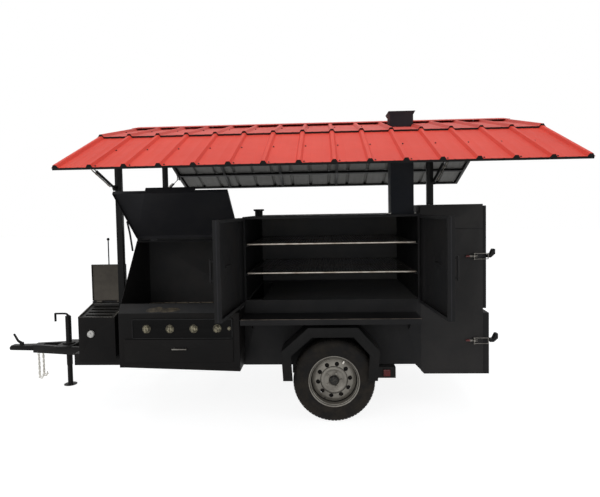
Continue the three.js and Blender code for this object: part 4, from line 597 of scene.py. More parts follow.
def add_ribbed(bm, section, start, end, place):
    """A folded sheet along a section, with its red side out and its primed side in."""
    edge = [bm.verts.new((x, start, height)) for x, height in section]
    lines = [bm.edges.new(pair) for pair in zip(edge, edge[1:])]
    grown = bmesh.ops.extrude_edge_only(bm, edges=lines)["geom"]
    faces = [item for item in grown if isinstance(item, bmesh.types.BMFace)]
    far = [item for item in grown if isinstance(item, bmesh.types.BMVert)]
    bmesh.ops.translate(bm, vec=(0, end - start, 0), verts=far)
    for face in faces:
        face.normal_update()
        if face.normal.z < 0:
            face.normal_flip()
    thick = bmesh.ops.solidify(bm, geom=faces, thickness=sizes().sheet_thickness)["geom"]
    verts = set(edge) | set(far) | {item for item in thick if isinstance(item, bmesh.types.BMVert)}
    every = {face for vert in verts for face in vert.link_faces}
    bmesh.ops.recalc_face_normals(bm, faces=list(every))
    for face in every:
        face.normal_update()
        face.material_index = int(face.normal.z < -0.3)
    bmesh.ops.transform(bm, matrix=place, verts=list(verts))


def rib_places(box_node):
    """Rib middles, spread evenly with the same margin at both ends of a sheet."""
    look = sizes()
    left, right = low(box_node).x, high(box_node).x
    count = round((right - left - 0.02) / look.rib_pitch)
    first = (left + right) / 2 - look.rib_pitch * count / 2
    return [first + i * look.rib_pitch for i in range(count + 1)]


def add_plugs(bm, ribs, down, place):
    """Black closures that fill the open ends of the ribs."""
    look, slack = sizes(), 0.001
    foot, crest, rise = look.rib_base / 2 - slack, look.rib_crest / 2 - slack, look.rib_height - slack
    section = ((-foot, 0.0005), (-crest, rise), (crest, rise), (foot, 0.0005))
    for rib in ribs:
        add_plate(bm, [(rib + x, down, z) for x, z in section], (0, 0.012, 0), place)


def add_screws(bm, spots, place):
    """Hexagon screws on their washers, standing on the sheet."""
    size = sizes().screw_size
    for x, y in spots:
        washer = add_rod(bm, (x, y, 0), (x, y, 0.0022), size * 1.35, 10)
        head = add_rod(bm, (x, y, 0.0018), (x, y, 0.0062), size, 6)
        bmesh.ops.transform(bm, matrix=place, verts=washer + head)


def slope_of(sign):
    """Where a centre slope starts at the ridge, its direction, its outward normal and its length."""
    tilt = math.radians(sizes().gable_degrees)
    half = 0.855  # from the ridge to the flap's pivot, level
    ridge = Vector((0, 0, pivot("front_flap_fold").z + SHEET_RISE + half * math.tan(tilt)))
    direction = Vector((0, sign * math.cos(tilt), -math.sin(tilt)))
    outward = Vector((0, sign * math.sin(tilt), math.cos(tilt)))
    length = max(-low("roof_sheet").y, high("roof_sheet").y) / math.cos(tilt) + sizes().roof_lap
    return ridge, direction, outward, length


def build_centre_roof():
    ribs = rib_places("roof_sheet")
    left, right = low("roof_sheet").x, high("roof_sheet").x
    start, beside_rib, margin, seal = 0.02, 0.034, 0.02, 0.012
    edge = 0.038 - seal  # the chimney's cap reaches this much past the hole in the sheet
    bm, closures, screws = bmesh.new(), bmesh.new(), bmesh.new()
    for sign in (-1, 1):
        ridge, direction, outward, length = slope_of(sign)
        place = slope_place(ridge, direction, outward)
        spots = [(sign * (rib + beside_rib), row) for rib in ribs[:-1] for row in (0.19, 0.5)]
        # X runs the other way on the near slope, so every section is given in the slope's own X
        own = sorted(sign * rib for rib in ribs)
        ends = sorted((sign * left, sign * right))
        sheets = [(*ends, start, length)]
        if sign < 0:
            hole = sorted((-low("chimney").x - edge, -high("chimney").x + edge))
            first, last = (distance / direction.y for distance in (high("chimney").y - edge, low("chimney").y + edge))
            sheets = [
                (ends[0], hole[0], start, length), (hole[1], ends[1], start, length),
                (*hole, start, first), (*hole, last, length),
            ]
            spots = [(x, y) for x, y in spots if not (hole[0] - margin < x < hole[1] + margin and y > 0.4)]
            add_chimney_seal(closures, hole, (first, last), seal, place)
        for x0, x1, top, foot in sheets:
            add_ribbed(bm, rib_line(x0, x1, own), top, foot, place)
        # A black strip under the lapped edge is a painted shadow in the gap there.
        add_lap_shadow_strip(closures, rib_line(ends[0] + 0.001, ends[1] - 0.001, own), length, place)
        add_screws(screws, spots, place)
    add_ridge_cap(bm, left, right)
    # The centre sheets take the paler red, a painted grazing reflection.
    looks = [pale_sheen_roofing(), roof_backing()]
    make_piece(bm, "roof_centre_panels", "base", looks, ["roof_sheet"], angle=25)
    # Black rubber for the chimney seal and for the lap strip, which is a painted shadow.
    make_piece(closures, "roof_seals_and_lap_shadow", "base", black_rubber())
    make_piece(screws, "roof_screws", "base", mark_black())


def add_lap_shadow_strip(bm, section, length, place):
    """The black strip that follows the ribs under the lapped edge, over the folding side's sheet, as a painted shadow
    in the gap under the lap.
    """
    depth, back = 0.0135, 0.004
    upper = [(x, length - back, height - 0.0002) for x, height in section]
    lower = [(x, length - back, height - depth) for x, height in reversed(section)]
    add_plate(bm, upper + lower, (0, back - 0.001, 0), place)


def add_chimney_seal(bm, across, down, width, place):
    """The black bead that closes the gap between the sheet and the chimney."""
    level, rise = -0.002, sizes().rib_height - 0.002
    (x0, x1), (y0, y1) = across, down
    for lowest, highest in (
        ((x0, y0), (x1, y0 + width)), ((x0, y1 - width), (x1, y1)),
        ((x0, y0 + width), (x0 + width, y1 - width)), ((x1 - width, y0 + width), (x1, y1 - width)),
    ):
        add_box(bm, (*lowest, level), (*highest, rise), place)


def add_ridge_cap(bm, left, right):
    """A folded cap over the ridge, hemmed along both edges."""
    tilt = math.radians(sizes().gable_degrees)
    rise, reach, thick = sizes().rib_height + 0.0005, 0.19, 0.0012
    crown = slope_of(-1)[0].z + rise / math.cos(tilt)
    edge = crown - reach * math.tan(tilt)
    outline = [
        (left, -reach, edge), (left, -reach, edge + thick), (left, 0, crown + thick),
        (left, reach, edge + thick), (left, reach, edge), (left, 0, crown),
    ]
    add_plate(bm, outline, (right - left, 0, 0))
    for y in (-reach, reach):
        add_rod(bm, (left, y, edge + thick), (right, y, edge + thick), 0.0022, 8)


def build_flap(name, sign):
    """One folding side of the roof: its ribbed sheet, rib closures, screws and frame."""
    body, node = f"{name}_flap", f"{name}_flap_sheet"
    tilt = math.radians(sizes().flap_degrees)
    direction = Vector((0, sign * math.cos(tilt), -math.sin(tilt)))
    outward = Vector((0, sign * math.sin(tilt), math.cos(tilt)))
    fold = pivot(f"{name}_flap_fold")
    place = slope_place(Vector((0, fold.y, fold.z)) + outward * SHEET_RISE * math.cos(tilt), direction, outward)
    own = sorted(sign * rib for rib in rib_places(node))
    left, right = sorted((sign * low(node).x, sign * high(node).x))
    top, length, beside_rib, margin = 0.006, 0.868, 0.034, 0.02
    bm, closures, screws = bmesh.new(), bmesh.new(), bmesh.new()
    add_ribbed(bm, rib_line(left, right, own), top, length, place)
    looks = [red_roofing(), roof_backing()]
    make_piece(bm, f"{name}_flap_panel", body, looks, [node], angle=25)
    add_plugs(closures, own, length - 0.013, place)
    add_box(closures, (left + 0.002, length - 0.0105, -0.0125), (right - 0.002, length - 0.0085, -0.0008), place)
    make_piece(closures, f"{name}_flap_closures", body, black_rubber())
    spots = [(rib + sign * beside_rib, row) for rib in own[:-1] for row in (0.465, length - margin)]
    add_screws(screws, [spot for spot in spots if left + margin < spot[0] < right - margin], place)
    make_piece(screws, f"{name}_flap_screws", body, mark_black())

    def raise_eave(frame_bm):
        """The eave member's foot is rolled up, so that only a slim edge hangs under the sheet."""
        eave_start, underside, lift = 0.79, -0.006, 0.009
        for vert in frame_bm.verts:
            reach = vert.co - Vector((vert.co.x, fold.y, fold.z))
            if reach.dot(direction) > eave_start and reach.dot(outward) < underside:
                vert.co += outward * lift

    refine(f"{name}_flap_frame", body, trailer_black(), finish=raise_eave)


def build_strut(end, hand):
    """A gas strut: black cylinder, bright rod, round eyes, and a slim lock tube beside it."""
    tail = f"{end}_{hand}"
    cylinder, rod = f"strut_cylinder_{tail}", f"strut_rod_{tail}"
    start = pivot(f"strut_{tail}_swing")
    reach = Vector(JOINTS[f"strut_{tail}_slide"]["axis"]).normalized()
    side = Vector((-1 if hand == "left" else 1, 0, 0))

    def at(distance, aside=0.0):
        return start + reach * distance + side * aside

    tube = bmesh.new()
    for first, last, radius, segments in (
        (0.018, 0.350, 0.011, 24), (0.008, 0.020, 0.005, 12), (0.349, 0.353, 0.0085, 24),
    ):
        add_rod(tube, at(first), at(last), radius, segments)
    add_eye(tube, start)
    make_piece(tube, f"strut_tube_{tail}", cylinder, trailer_black(), [cylinder], 0.0006)
    lock, beside = bmesh.new(), 0.025
    add_rod(lock, at(0.024, beside), at(0.380, beside), 0.005, 16)
    for spot in (0.06, 0.29):
        add_rod(lock, at(spot, beside), at(spot + 0.012, beside), 0.0075, 16)
        add_rod(lock, at(spot + 0.006, 0.010), at(spot + 0.006, beside), 0.003, 10)
    make_piece(lock, f"strut_lock_{tail}", cylinder, bare_rod(), bevel=0.0005)
    shaft = bmesh.new()
    length = (upper_pin(end, hand) - start).length
    add_rod(shaft, at(0.192), at(length - 0.011), 0.005, 20)
    add_eye(shaft, at(length))
    make_piece(shaft, f"strut_shaft_{tail}", rod, polished(), [rod], 0.0004)


def upper_pin(end, hand):
    """The middle of the eye at the top of a strut's rod."""
    node, radius = f"strut_rod_{end}_{hand}", 0.012
    outer = low(node).y + radius if end == "front" else high(node).y - radius
    return Vector((middle(node).x, outer, high(node).z - radius))


def add_eye(bm, centre):
    """A ring that a pin goes through, lying across the strut."""
    half = Vector((0.007, 0, 0))
    profile = [(0.0057, -0.007), (0.012, -0.007), (0.012, 0.007), (0.0057, 0.007)]
    add_spun(bm, profile, 24, along(centre - half, centre + half))


def build_roof():
    build_centre_roof()
    for name, sign in (("front", -1), ("rear", 1)):
        build_flap(name, sign)
        for hand in ("left", "right"):
            build_strut(name, hand)
    refine("roof_frame", "base", trailer_black())


# ------------------------------------------------------------------ smoker

def build_chimney():
    node = "chimney"
    spot, top, foot = middle(node), high(node).z, low(node).z
    bm = copy_node(node)
    for face in bm.faces:
        centre = face.calc_center_median()
        level = Vector((spot.x, spot.y, centre.z))
        inside = abs(centre.x - spot.x) < 0.096 and abs(centre.y - spot.y) < 0.096
        inside = inside and foot + 0.01 < centre.z < top - 0.001
        face.material_index = int(inside and face.normal.dot(centre - level) < 0)
    round_edges(bm, 0.002)
    make_piece(bm, "chimney_shaped", "base", [chimney_paint(), soot_black()], [node], angle=35)
    bolts, beside = bmesh.new(), 0.104
    for x in (-beside, beside):
        for y in (-beside, 0, beside):
            seat = Vector((spot.x + x, spot.y + y, foot + 0.004))
            add_nut(bolts, seat, seat + Vector((0, 0, 0.007)), 0.008)
    make_piece(bolts, "chimney_bolts", "base", bright_zinc(), bevel=0.0008)


def build_chamber():
    """The chamber with its soot inside painted a lighter grey as painted fill light, a wider vent pipe, and a pale rod
    along the shelf's front edge as a painted highlight.
    """
    pipe = Vector((0.13275, -0.2, 1.655))

    # Inside faces take the lighter soot, which is painted fill light in the chamber's shade.
    def sooty(centre, normal):
        return within(centre, (0.0577, -0.6785, 0.7), (1.528, 0.6785, 1.6525))

    def smooth_pipe(bm):
        old = [vert for vert in bm.verts if vert.co.z > pipe.z + 0.0025]
        bmesh.ops.delete(bm, geom=old, context="VERTS")
        profile = [
            (0.030, 0), (0.036, 0), (0.036, 0.046), (0.049, 0.048), (0.049, 0.062), (0.046, 0.064),
            (0.0, 0.064), (0.0, 0.054), (0.030, 0.054),
        ]
        add_spun(bm, profile, 32, Matrix.Translation(pipe))

    refine(
        "smoke_chamber", "base", stove_black(), inner=[soot_with_painted_light()], is_inner=sooty,
        finish=smooth_pipe,
    )
    # A pale metal rod along the shelf's front edge is a painted highlight.
    edge, front, top = bmesh.new(), -0.949, 0.841
    add_rod(edge, (0.0628, front, top), (1.4907, front, top), 0.0025, 10)
    make_piece(edge, "shelf_edge_highlight", "base", edge_highlight_steel())


def edge_highlight_steel():
    # Pale steel for a painted highlight along an edge.
    return drawn_metal("Worn Edge Steel", (96, 88, 80), (60, 54, 50), (0.3, 0.5), (1.0, 60.0, 60.0), 0.8)


def smoked_rod():
    return drawn_metal("Smoked Rod", (74, 70, 66), (46, 44, 42), (0.4, 0.6), (1.0, 60.0, 60.0), 0.5)


def build_rack(node):
    """A rack of round bars with a thick bright front rail."""
    (left, front, _), (right, back, top) = low(node), high(node)
    radius, side_radius, bars = 0.011, 0.005, 56
    front, level = front + radius, top - radius
    rail = bmesh.new()
    add_rod(rail, (left, front, level), (right, front, level), radius, 24)
    make_piece(rail, f"{node}_rail", node, bare_rod())
    bm = bmesh.new()
    for x in (left + side_radius, right - side_radius):
        add_rod(bm, (x, front, level - 0.004), (x, back - 0.004, level - 0.004), side_radius, 12)
    for y in (back - side_radius, (front + back) / 2):
        add_rod(bm, (left + 0.004, y, level - 0.0045), (right - 0.004, y, level - 0.0045), side_radius, 12)
    for i in range(bars):
        x = left + 0.018 + (right - left - 0.036) * i / (bars - 1)
        add_rod(bm, (x, front, level + 0.001), (x, back - 0.004, level + 0.001), 0.003, 8)
    make_piece(bm, f"{node}_bars", node, smoked_rod(), [node])


def door_black():
    return painted("Door Black", (27, 27, 28), (34, 33, 33), (0.42, 0.6), shine=0.12)


def build_chamber_door(name, hand):
    """A chamber door: black outside, sooty in its pan, with a rolled bead down its outer edge."""
    node = f"chamber_door_{name}"
    hinge, rest = pivot(f"{node}_swing"), shut_turn(f"{node}_swing")
    opened = rest.inverted()

    def sooty(centre, normal):
        spot = opened @ (centre - hinge)
        return 0.02 < spot.x * hand < 0.76 and -0.0185 < spot.y < 0.031 and abs((opened @ normal).y) > 0.2

    refine(node, node, door_black(), inner=[soot_black()], is_inner=sooty)
    bead, end = bmesh.new(), 0.004
    spot = hinge + rest @ Vector((hand * 0.7435, 0.006, 0))
    add_rod(bead, (spot.x, spot.y, low(node).z + end), (spot.x, spot.y, high(node).z - end), 0.0062, 16)
    make_piece(bead, f"door_bead_{name}", node, lit_hood_black(), bevel=0.001)


def build_smoker():
    build_chamber()
    build_chimney()
    for node in ("rack_lower", "rack_upper"):
        build_rack(node)
    build_chamber_door("left", 1)
    build_chamber_door("right", -1)


# ------------------------------------------------------------------ firebox cabinet

def build_fire_cabinet():
    def sooty(centre, normal):
        return within(centre, (1.5365, -0.6785, 0.318), (2.046, 0.6785, 1.7275))

    # The cabinet takes the lighter black, which is painted light.
    refine("cabinet_shell", "base", lit_cabinet_black(), inner=[soot_black()], is_inner=sooty)
    for node in ("cabinet_door", "firebox_door"):
        refine(node, node, stove_black())
    refine("fire_grate", "base", cast_black(), 0.002)
    seam, front, level = bmesh.new(), -0.6806, 1.53
    add_rod(seam, (low("cabinet_shell").x + 0.093, front, level), (2.0425, front, level), 0.0022, 8)
    make_piece(seam, "cabinet_weld_seam", "base", stove_black())
    for level in ("upper", "lower"):
        build_toggle(level)


def build_toggle(level):
    """A toggle clamp: silver lever with a red rubber grip, and a silver wire hook."""
    lever, hook = f"{level}_latch_lever", f"{level}_latch_hook"
    axis, pin = pivot(f"{lever}_turn"), pivot(f"{hook}_turn")
    tail, end = low(lever).x, high(hook).x - 0.004
    bars, apart, reach = bmesh.new(), 0.0055, Vector((0, 0, 0.028))
    for z in (axis.z - apart, axis.z + apart):
        add_box(bars, (tail + 0.03, axis.y - 0.005, z - 0.002), (axis.x + 0.008, axis.y + 0.005, z + 0.002))
    add_box(bars, (tail + 0.028, axis.y - 0.005, axis.z - apart), (tail + 0.06, axis.y - 0.002, axis.z + apart))
    add_box(bars, (pin.x - 0.007, pin.y - 0.006, axis.z - 0.0078), (pin.x + 0.007, axis.y, axis.z + 0.0078))
    add_rod(bars, pin - reach, pin + reach, 0.0035, 16)
    make_piece(bars, f"{lever}_bars", lever, worn_zinc(), [lever], 0.0008)
    grip = bmesh.new()
    add_rod(grip, (tail + 0.001, axis.y, axis.z), (tail + 0.036, axis.y, axis.z), 0.0078, 20)
    make_piece(grip, f"{lever}_grip", lever, grip_red(), bevel=0.002)
    wire, bend, radius = bmesh.new(), Vector((0, 0, 0.023)), 0.003
    corner = Vector((end, pin.y, pin.z))
    eye = [(0.0042, -radius), (0.0085, -radius), (0.0085, radius), (0.0042, radius)]
    for side in (-bend, bend):
        add_rod(wire, pin + side + Vector((0.006, 0, 0)), corner + side, radius, 16)
        add_spun(wire, eye, 20, Matrix.Translation(pin + side))
        add_ball(wire, corner + side, radius, 12)
    add_rod(wire, corner - bend, corner + bend, radius, 16)
    make_piece(wire, f"{hook}_wire", hook, worn_zinc(), [hook])


def grip_red():
    return painted("Red Grip", (104, 34, 32), (84, 28, 27), (0.4, 0.5), (300.0, 0.05))


# ------------------------------------------------------------------ grill and fryer

def frame_bars(x0, x1, z0, z1, width):
    """The corners of four bars around an upright rectangle: foot, head and both sides."""
    return (
        (x0, x1, z0, z0 + width), (x0, x1, z1 - width, z1), (x0, x0 + width, z0, z1), (x1 - width, x1, z0, z1),
    )


def build_grill():
    def greasy(centre, normal):
        panel_face, panel_foot, panel_head = -0.9615, 0.69, 0.86
        if normal.y < -0.9 and centre.y < panel_face and panel_foot < centre.z < panel_head:
            return 2
        return within(centre, (-0.9258, -0.9475, 0.5005), (-0.0125, -0.1715, math.inf))

    hinge, ends = pivot("grill_hood_lift"), (low("grill_body").x, high("grill_body").x)
    # The grill takes the darker black as painted shade, and its hood the lighter black as painted light.
    refine("grill_body", "base", shaded_grill_black(), inner=[soot_black(), panel_black()], is_inner=greasy)
    refine("grill_hood", "grill_hood", lit_hood_black(), finish=add_hood_stay)
    build_hinge_barrels("grill", hinge, ends, 0.12, 0.06, 0.0086)
    refine("grease_drawer", "grease_drawer", shaded_grill_black(), 0.0012, [worn_zinc()], is_drawer_grip)
    refine("cooking_grate", "base", griddle_brown(), 0.0015)
    build_burners()
    for number in KNOBS:
        build_knob(f"knob_{number}")
    build_igniter()
    build_lip_film()
    trim, face = bmesh.new(), -0.9625
    for x0, x1, z0, z1 in frame_bars(-0.8137, -0.0022, 0.6965, 0.8555, 0.006):
        add_box(trim, (x0, face - 0.0025, z0), (x1, face + 0.001, z1))
    make_piece(trim, "panel_frame", "base", mark_black(), bevel=0.0006)


def build_burners():
    lowest, highest, radius = low("burners"), high("burners"), 0.012
    front, level = lowest.y + radius, middle("burners").z
    tubes = bmesh.new()
    add_rod(tubes, (lowest.x, front, level), (highest.x, front, level), radius, 20)
    for number in KNOBS:
        x = pivot(f"knob_{number}_turn").x
        add_rod(tubes, (x, front, level), (x, highest.y, level), radius, 20)
    make_piece(tubes, "burner_tubes", "base", bare_rod(), ["burners"], 0.001)


def build_lip_film():
    """Burnt grease that ran over the sloping lip in front of the grate."""
    start = Vector((0, low("smoke_chamber").y, 0.9))
    up = (Vector((0, -0.471, 1.46)) - start).normalized()
    out = Vector((0, -up.z, up.y))
    outline = [
        (-0.705, 0.016), (-0.66, 0.008), (-0.60, 0.012), (-0.55, 0.006), (-0.47, 0.014), (-0.425, 0.030),
        (-0.44, 0.046), (-0.50, 0.052), (-0.55, 0.044), (-0.60, 0.060), (-0.66, 0.050), (-0.70, 0.036),
    ]
    bm = bmesh.new()
    points = [Vector((x, 0, 0)) + start + up * rise + out * 0.0001 for x, rise in outline]
    add_plate(bm, points, out * 0.0006)
    make_piece(bm, "lip_grease_film", "base", grease_film(), bevel=0.0002)


def add_hood_stay(bm):
    """The stout bent rod at the hood's end that holds it open."""
    hinge, bends = pivot("grill_hood_lift"), ((-0.25, 0.008), (-0.15, -0.04), (-0.02, -0.13))
    tilt = Matrix.Rotation(math.radians(-37), 4, "X")
    root = Vector((low("grill_body").x - 0.0095, hinge.y, hinge.z))
    add_bent_rod(bm, [root + tilt @ Vector((0, *bend)) for bend in bends], 0.0082, 0.0086)


def build_hinge_barrels(name, axis, ends, inset, knuckle, radius):
    """The fixed barrels of a piano hinge, between and outside the lid's two knuckles."""
    left, right = ends
    gap, end = 0.0008, 0.002
    bm = bmesh.new()
    for start, stop in (
        (left + end, left + inset - gap), (left + inset + knuckle + gap, right - inset - knuckle - gap),
        (right - inset + gap, right - end),
    ):
        add_rod(bm, (start, axis.y, axis.z), (stop, axis.y, axis.z), radius, 20)
        add_box(bm, (start, axis.y, axis.z - radius - 0.004), (stop, axis.y + radius, axis.z - radius / 2))
    make_piece(bm, f"{name}_hinge_barrels", "base", stove_black(), bevel=0.0006)


def griddle_brown():
    fat, burnt = (150, 136, 116), (96, 86, 74)
    return painted("Used Griddle", fat, burnt, (0.4, 0.6), (160.0, 0.4), (6.0, 0.35, 0.7), metallic=0.1)


def is_drawer_grip(centre, normal):
    drawer_face = -0.9635
    return centre.y < drawer_face


def build_knob(node):
    """A ribbed knob with a raised bar and a black mark, on a bezel of its own."""
    spot = pivot(f"{node}_turn")
    place = facing(spot)
    dial = bmesh.new()
    add_spun(dial, [
        (0.0, 0.020), (0.017, 0.020), (0.0195, 0.018), (0.021, 0.010), (0.0275, 0.006), (0.029, 0.003), (0.029, 0.0),
        (0.005, 0.0), (0.005, -0.024), (0.0, -0.024),
    ], 48, place)
    grooves = 12
    for turn in range(grooves):
        angle = math.tau * turn / grooves
        x, y = math.cos(angle) * 0.0202, math.sin(angle) * 0.0202
        add_rod(dial, place @ Vector((x, y, 0.0085)), place @ Vector((x, y, 0.0185)), 0.0022, 8)
    add_box(dial, (-0.0048, -0.019, 0.019), (0.0048, 0.019, 0.034), place)
    make_piece(dial, f"{node}_dial", node, glinting_knob_metal(), [node], 0.0012)
    mark, ring = bmesh.new(), bmesh.new()
    add_box(mark, (-0.001, 0.006, 0.0336), (0.001, 0.0185, 0.0344), place)
    make_piece(mark, f"{node}_mark", node, mark_black(), bevel=0.0002)
    profile = [(0.0302, 0.0), (0.0335, 0.0), (0.0325, 0.0022), (0.0308, 0.0022)]
    add_spun(ring, profile, 40, facing(spot + Vector((0, 0.0003, 0))))
    make_piece(ring, f"{node}_bezel", "base", glinting_knob_metal())


def facing(spot):
    """A matrix whose Z looks out towards the serving side."""
    return Matrix.Translation(Vector(spot)) @ Matrix.Rotation(math.radians(90), 4, "X")


def build_igniter():
    node = "igniter"
    spot = middle(node)
    place = facing((spot.x, low(node).y + 0.008, spot.z))
    button, ring = bmesh.new(), bmesh.new()
    add_spun(button, [
        (0.0, 0.0075), (0.007, 0.008), (0.0088, 0.006), (0.009, 0.0035), (0.006, 0.0035), (0.006, -0.014),
        (0.0, -0.014),
    ], 32, place)
    make_piece(button, "igniter_button", node, glinting_knob_metal(), [node])
    add_spun(ring, [(0.0098, -0.0002), (0.0145, -0.0002), (0.0135, 0.0025), (0.0105, 0.0025)], 32, place)
    make_piece(ring, "igniter_bezel", "base", glinting_knob_metal())


def build_fryer():
    refine("fryer_body", "base", shaded_grill_black(), inner=[fryer_brown()], is_inner=is_fryer_top)
    refine("fryer_lid", "fryer_lid", worn_stainless(), 0.001)
    build_lid_ball()
    build_dial()
    build_fryer_rim()
    left, right = low("fryer_body").x, high("fryer_body").x
    axis = pivot("fryer_lid_lift")
    build_hinge_barrels("fryer", axis, (left, right), 0.04, 0.05, 0.0068)
    leaf, end = bmesh.new(), 0.004
    add_box(leaf, (left + end, axis.y + 0.0072, axis.z - 0.012), (right - end, axis.y + 0.0102, axis.z + 0.0112))
    for x in (0.02, 0.11, 0.2, 0.29):
        spot = Vector((left + x, axis.y + 0.0075, axis.z + 0.004))
        add_nut(leaf, spot, spot - Vector((0, 0.003, 0)), 0.004)
    make_piece(leaf, "fryer_hinge_leaf", "base", shaded_grill_black(), bevel=0.0006)


def build_dial():
    """The fryer's white dial with ten marks and a pointer."""
    node = "fryer_dial"
    place = facing(pivot("fryer_dial_turn"))
    disc, marks = bmesh.new(), bmesh.new()
    add_spun(disc, [
        (0.0, 0.020), (0.024, 0.020), (0.0275, 0.018), (0.030, 0.008), (0.030, 0.0), (0.005, 0.0), (0.005, -0.012),
        (0.0, -0.012),
    ], 48, place)
    make_piece(disc, "fryer_dial_disc", node, dial_white(), [node], 0.0008)
    for degrees in range(-135, 150, 30):
        turn = place @ Matrix.Rotation(math.radians(degrees), 4, "Z")
        add_box(marks, (-0.0007, 0.0185, 0.0198), (0.0007, 0.0225, 0.0204), turn)
    add_box(marks, (-0.0012, 0.002, 0.0198), (0.0012, 0.016, 0.0208), place)
    make_piece(marks, "fryer_dial_marks", node, mark_black(), bevel=0.0002)


def build_lid_ball():
    """The black sleeve and ball at the end of the fryer lid's rod."""
    hinge = pivot("fryer_lid_lift")
    upright = Matrix.Rotation(math.radians(-90), 4, "X")
    level, lid, rod = 0.012, 0.335, 0.225
    root = Vector((middle("fryer_lid").x, hinge.y, hinge.z))
    start, end = (root + upright @ Vector((0, -reach, level)) for reach in (lid - 0.004, lid + rod))
    bm = bmesh.new()
    add_rod(bm, start, end, 0.0052, 16)
    add_ball(bm, end, 0.0128, 20)
    make_piece(bm, "fryer_lid_ball", "fryer_lid", black_rubber())


def is_fryer_top(centre, normal):
    left, right, wall = low("fryer_body").x, high("fryer_body").x, 0.004
    return within(centre, (left + wall, -0.768, 0.5), (right - wall, -0.494, math.inf))


def build_fryer_rim():
    """The bright crimped strip along the tank's sloping edges, its front and its back."""
    left, right, radius = low("fryer_body").x, high("fryer_body").x, 0.0058
    front, back = Vector((0, -0.7685, 0.8343)), Vector((0, -0.4905, 0.9013))
    strip = bmesh.new()
    for x in (left + 0.0055, right - 0.0055):
        count = 22
        for i in range(count):
            spot = front.lerp(back, (i + 0.5) / count)
            add_ball(strip, (x, spot.y, spot.z), radius, 8)
    count = 24
    for i in range(count):
        x = left + 0.0095 + (right - left - 0.019) * i / (count - 1)
        add_ball(strip, (x, front.y + 0.003, front.z), radius, 8)
        add_ball(strip, (x, *back.yz), radius, 8)
    make_piece(strip, "fryer_crimped_rim", "base", worn_zinc())


# ------------------------------------------------------------------ running gear

def wheel_place(side):
    """A matrix whose Z points out of the wheel's outer side."""
    sign = -1 if side == "near" else 1
    hub = pivot(f"wheel_{side}_spin")
    return Matrix.Translation(hub) @ Matrix.Rotation(-sign * math.pi / 2, 4, "X")


def add_pierced_ring(bm, inner, outer, circle, radius, slope, thickness, place):
    """A sloping ring of sheet with round holes on a circle. slope gives its level at each distance from the hub."""
    holes, steps = sizes().rim_holes, 16
    sector = math.tau / holes

    def ring_vert(distance, angle):
        return bm.verts.new((distance * math.cos(angle), distance * math.sin(angle), slope(distance)))

    faces = []
    for i in range(holes):
        hole, border = [], []
        for k in range(steps):
            c, s = math.cos(math.tau * k / steps), math.sin(math.tau * k / steps)
            x, y = circle + radius * c, radius * s
            hole.append(ring_vert(math.hypot(x, y), math.atan2(y, x) + sector * i))
            widest = max(abs(c), abs(s))
            reach = outer - circle if c > 0 else circle - inner
            border.append(ring_vert(circle + c / widest * reach, sector * (i + s / widest / 2)))
        for k in range(steps):
            n = (k + 1) % steps
            faces.append(bm.faces.new((hole[k], border[k], border[n], hole[n])))
    bmesh.ops.remove_doubles(bm, verts=list({vert for face in faces for vert in face.verts}), dist=SAME_SPOT)
    faces = [face for face in faces if face.is_valid]
    bmesh.ops.recalc_face_normals(bm, faces=faces)
    grown = bmesh.ops.solidify(bm, geom=faces, thickness=thickness)["geom"]
    verts = {vert for face in faces for vert in face.verts}
    verts |= {item for item in grown if isinstance(item, bmesh.types.BMVert)}
    bmesh.ops.transform(bm, matrix=place, verts=list(verts))


# Each outline is (distance from the axle, level) in metres. The shoulder lug is given a thickness and set around the
# tyre, and the others are spun, alone or joined, into rings.
RIM_BARREL = [
    (0.2065, 0.097), (0.2068, 0.092), (0.2045, 0.0895), (0.1945, 0.0885), (0.1895, 0.084), (0.1895, -0.084),
    (0.1945, -0.0885), (0.2045, -0.0895), (0.2068, -0.092), (0.2065, -0.097), (0.2035, -0.0965), (0.1915, -0.0915),
    (0.1865, -0.086), (0.1865, 0.086), (0.1915, 0.0915), (0.2035, 0.0965),
]
DISC_MIDDLE = [
    (0.034, 0.0515), (0.070, 0.0515), (0.080, 0.0535), (0.088, 0.0605), (0.096, 0.0620), (0.104, 0.0575),
    (0.111, 0.0500), (0.111, 0.0455), (0.103, 0.0530), (0.096, 0.0575), (0.089, 0.0560), (0.080, 0.0485),
    (0.070, 0.0470), (0.034, 0.0470),
]
DISC_EDGE = [
    (0.1520, 0.0440), (0.162, 0.0410), (0.174, 0.0360), (0.184, 0.0320), (0.187, 0.0300), (0.187, 0.0250),
    (0.183, 0.0270), (0.173, 0.0310), (0.161, 0.0362), (0.1520, 0.0392),
]
HUB_RING = [(0.0405, 0.050), (0.0470, 0.050), (0.0455, 0.058), (0.0415, 0.060)]
HUB_CAP = [
    (0.0, 0.081), (0.024, 0.0805), (0.032, 0.077), (0.0365, 0.070), (0.038, 0.058), (0.0400, 0.054),
    (0.0400, 0.0385), (0.068, 0.0385), (0.070, 0.0465), (0.038, 0.0465), (0.038, -0.038), (0.0185, -0.038),
    (0.0185, 0.052), (0.0, 0.056),
]
